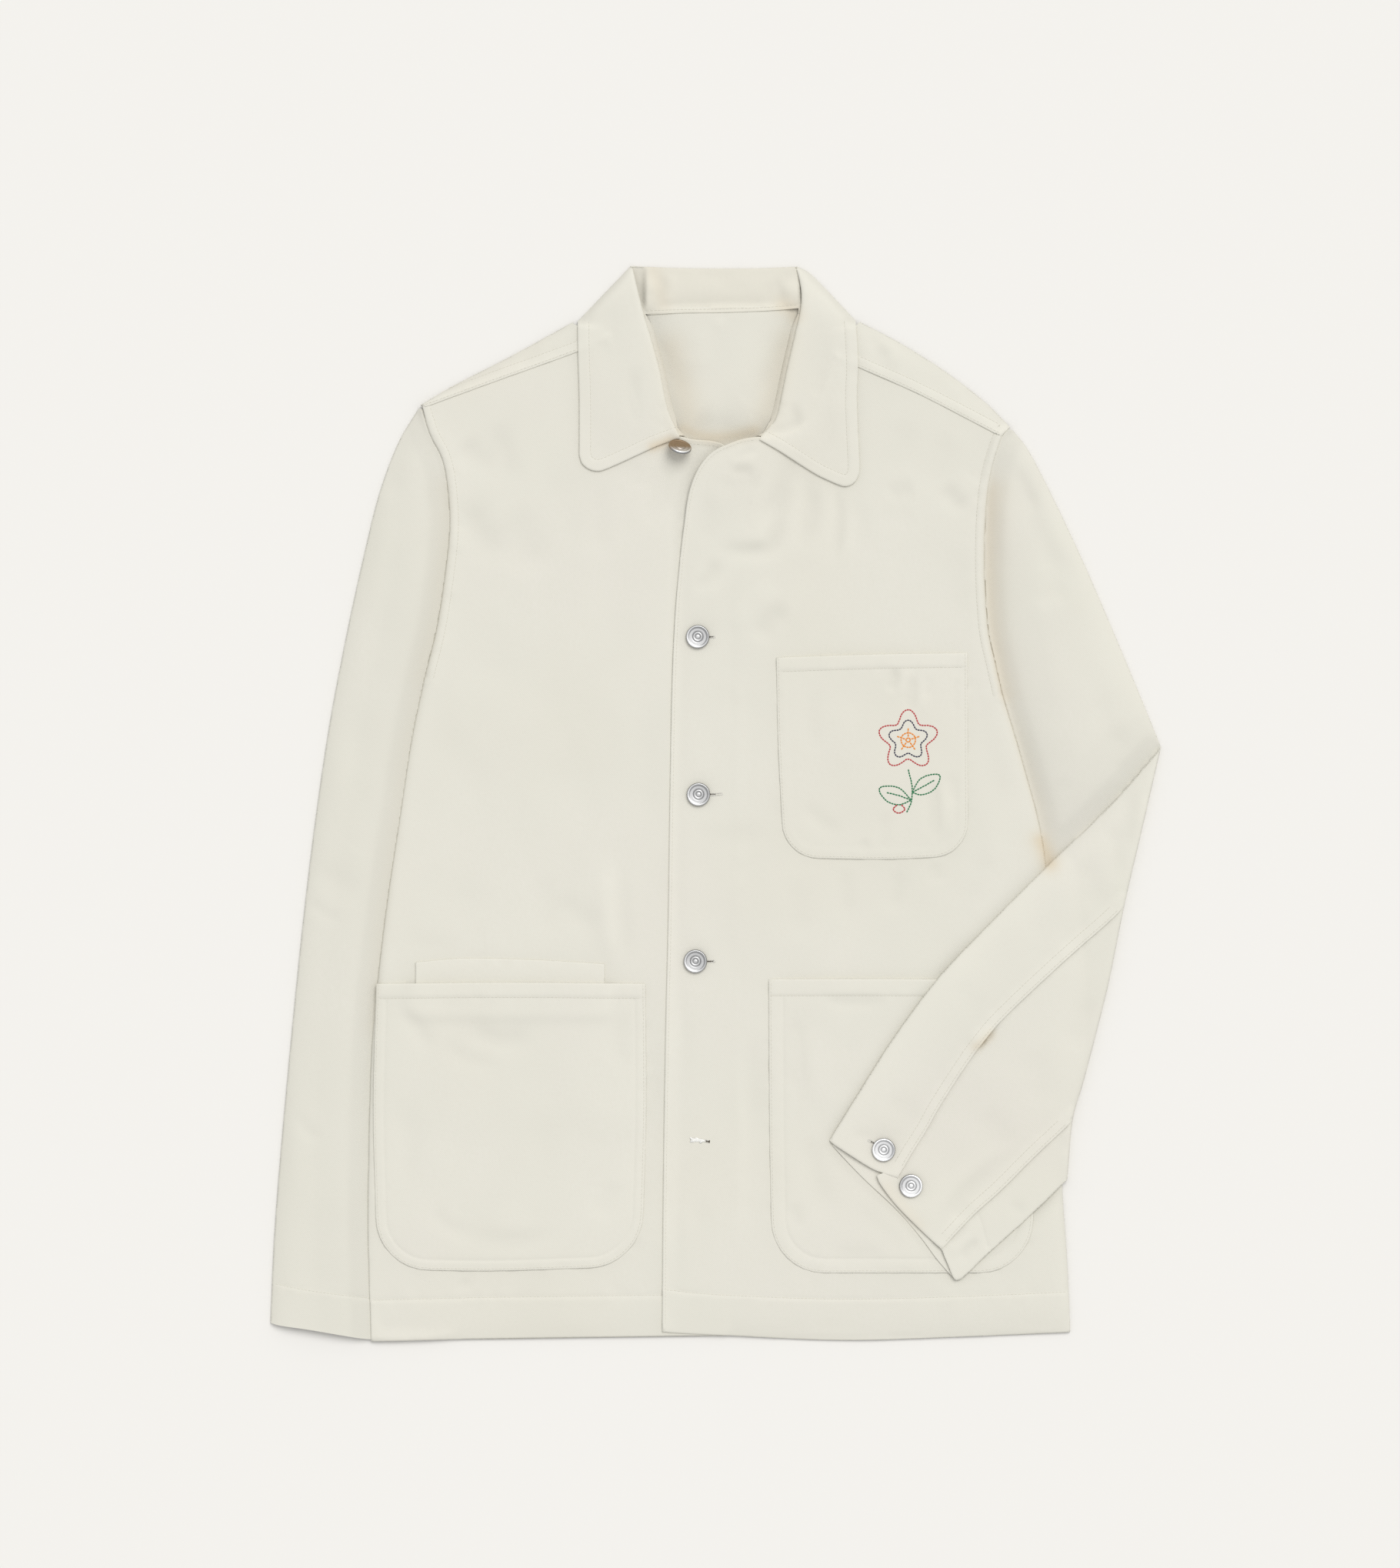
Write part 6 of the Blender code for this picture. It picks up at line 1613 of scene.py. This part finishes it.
HOLES_FRONT = [((903, 829), (928.5, 828)), ((905, 1034), (938, 1032)), ((903, 1250), (928.5, 1249))]
for k, (a, b) in enumerate(HOLES_FRONT):
    ln = straight(a, b)
    buttonhole("front", ln, top_fl, 0.12, 300 + 7 * k)
    tail = 930.5 if k == 1 else 927.5
    slit("front", straight((918, b[1] + 0.2), (924, b[1] + 0.1)), top_fl, 300 + 7 * k, 1.5)
    slit("front", straight((923, b[1] + 0.1), (tail, b[1])), top_fl, 301 + 7 * k, 0.8)
ln = curve((899, 1479.5), (908, 1480.5), (919, 1482.5))
buttonhole("front", ln, top_fl, 0.02, 330)
segs = []
for k, (a, b) in enumerate((((897, 1477), (901, 1482)), ((900, 1484), (906, 1479)), ((904, 1478), (911, 1483)), ((909, 1485), (915, 1481)), ((898, 1480), (907, 1481)), ((907, 1480.5), (917, 1482.5)), ((897, 1484), (902, 1480)), ((903, 1482.5), (912, 1481)))):
    p = px(a, b)
    z = top_fl(p)
    segs.append((p[0], p[1], z[0] + 0.12 * MM, z[1] + 0.12 * MM))
STITCH["hole_loose"] = thread_mesh("buttonhole_loose_threads", segs, LOOSE, 1.7, 0.8, 0.05)
slit("front", straight((917.5, 1482.4), (923, 1483.2)), top_fl, 330, 2.1)
ln = straight((1129, 1481), (1142, 1488))
buttonhole("cuff", ln, top_out, 0.08, 340)
slit("cuff", straight((1131.5, 1482.4), (1136, 1485)), top_out, 340, 1.2)

# ---------------------------------------------------------------- embroidery on the chest pocket: a plain flower outline
TOP_CHEST = TOPS["chest_pocket"]


def petal_ring(cx, cy, r, wave, n, turn):
    t = np.linspace(0, 2 * math.pi, 121)
    rr = r + wave * np.cos(n * (t - math.radians(turn)))
    return np.column_stack([(cx + rr * np.cos(t) - MID[0]) * STEP, (MID[1] - (cy - rr * np.sin(t))) * STEP])


def sewn(name, lines, colour, seed):
    mat = thread_material("thread_" + name, colour, 0.5)
    segs = []
    for i, ln in enumerate(lines):
        segs += run_of_stitches(ln, TOP_CHEST, 1.9, 0.12, seed + i)
    STITCH["embroidery_" + name] = thread_mesh("embroidery_" + name, segs, mat, 1.0, 0.36, 0.05)


sewn("red", [petal_ring(1180, 962, 32, 7.5, 5, 90), curve((1166, 1046), (1160, 1052), (1168, 1057), (1176, 1052), (1171, 1046))], (0.50, 0.025, 0.035, 1), 400)
sewn("navy", [petal_ring(1180, 962, 21.5, 4.5, 5, 90)], (0.02, 0.02, 0.06, 1), 410)
sewn("orange", [petal_ring(1180, 962, 9.5, 0.0, 5, 0)] + [straight((1180 + 4 * math.cos(a), 962 + 4 * math.sin(a)), (1180 + 15.5 * math.cos(a), 962 + 15.5 * math.sin(a))) for a in np.radians([54, 126, 198, 270, 342])]
     + [petal_ring(1180, 962, 3.2, 0.0, 5, 0)], (0.83, 0.27, 0.015, 1), 420)
sewn("green", [curve((1180, 1000), (1185, 1022), (1184, 1042), (1178, 1056)), curve((1185, 1030), (1196, 1012), (1216, 1006), (1222, 1010), (1214, 1026), (1198, 1033), (1185, 1030)), curve((1185, 1030), (1200, 1022), (1214, 1014)),
               curve((1184, 1040), (1168, 1024), (1148, 1022), (1142, 1027), (1152, 1041), (1168, 1046), (1184, 1040)), curve((1184, 1040), (1168, 1034), (1152, 1030))], (0.01, 0.19, 0.07, 1), 430)

# ---------------------------------------------------------------- pieces and stitches hung from the root, the imported parts they replace hidden
for name, ob in PIECES.items():
    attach(ob, "root")
    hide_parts(name)
for name, ob in STITCH.items():
    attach(ob, "root")

# ---------------------------------------------------------------- floor, light, camera
floor = bpy.data.materials.new("floor_pale")
floor.use_nodes = True
floor.node_tree.nodes["Principled BSDF"].inputs["Base Color"].default_value = (0.80, 0.785, 0.755, 1)
floor.node_tree.nodes["Principled BSDF"].inputs["Roughness"].default_value = 0.9
floor.node_tree.nodes["Principled BSDF"].inputs["Specular IOR Level"].default_value = 0.1
fl = to_mesh("floor", np.array([(-12, -12, -0.00015), (12, -12, -0.00015), (12, 12, -0.00015), (-12, 12, -0.00015)]), np.array([(0, 1, 2), (0, 2, 3)]), floor)

world = bpy.data.worlds.new("studio")
bpy.context.scene.world = world
world.use_nodes = True
world.node_tree.nodes["Background"].inputs["Color"].default_value = (0.93, 0.935, 0.94, 1)
world.node_tree.nodes["Background"].inputs["Strength"].default_value = 0.745


def sun(name, towards, strength, angle, colour=(1, 1, 1)):
    li = bpy.data.lights.new(name, "SUN")
    li.energy, li.angle, li.color = strength, math.radians(angle), colour
    ob = bpy.data.objects.new(name, li)
    ob.rotation_euler = Vector(towards).to_track_quat("-Z", "Y").to_euler()
    bpy.context.scene.collection.objects.link(ob)


# a broad key from the upper right, as on the photo's table
sun("key", (-0.30, -0.60, -1.0), 1.66, 40.0, (1.0, 0.992, 0.975))

cam = bpy.data.cameras.new("camera")
cam.lens = 100.0
cam.sensor_width = cam.sensor_height = 36.0
cam.sensor_fit = "AUTO"
cam.clip_end = 50.0
co = bpy.data.objects.new("camera", cam)
FRAME_H = 2038 * STEP
co.location = ((910 - MID[0]) * STEP, (MID[1] - 1019) * STEP, FRAME_H * 100.0 / 36.0)
bpy.context.scene.collection.objects.link(co)
bpy.context.scene.camera = co
bpy.context.scene.view_settings.view_transform = "Standard"
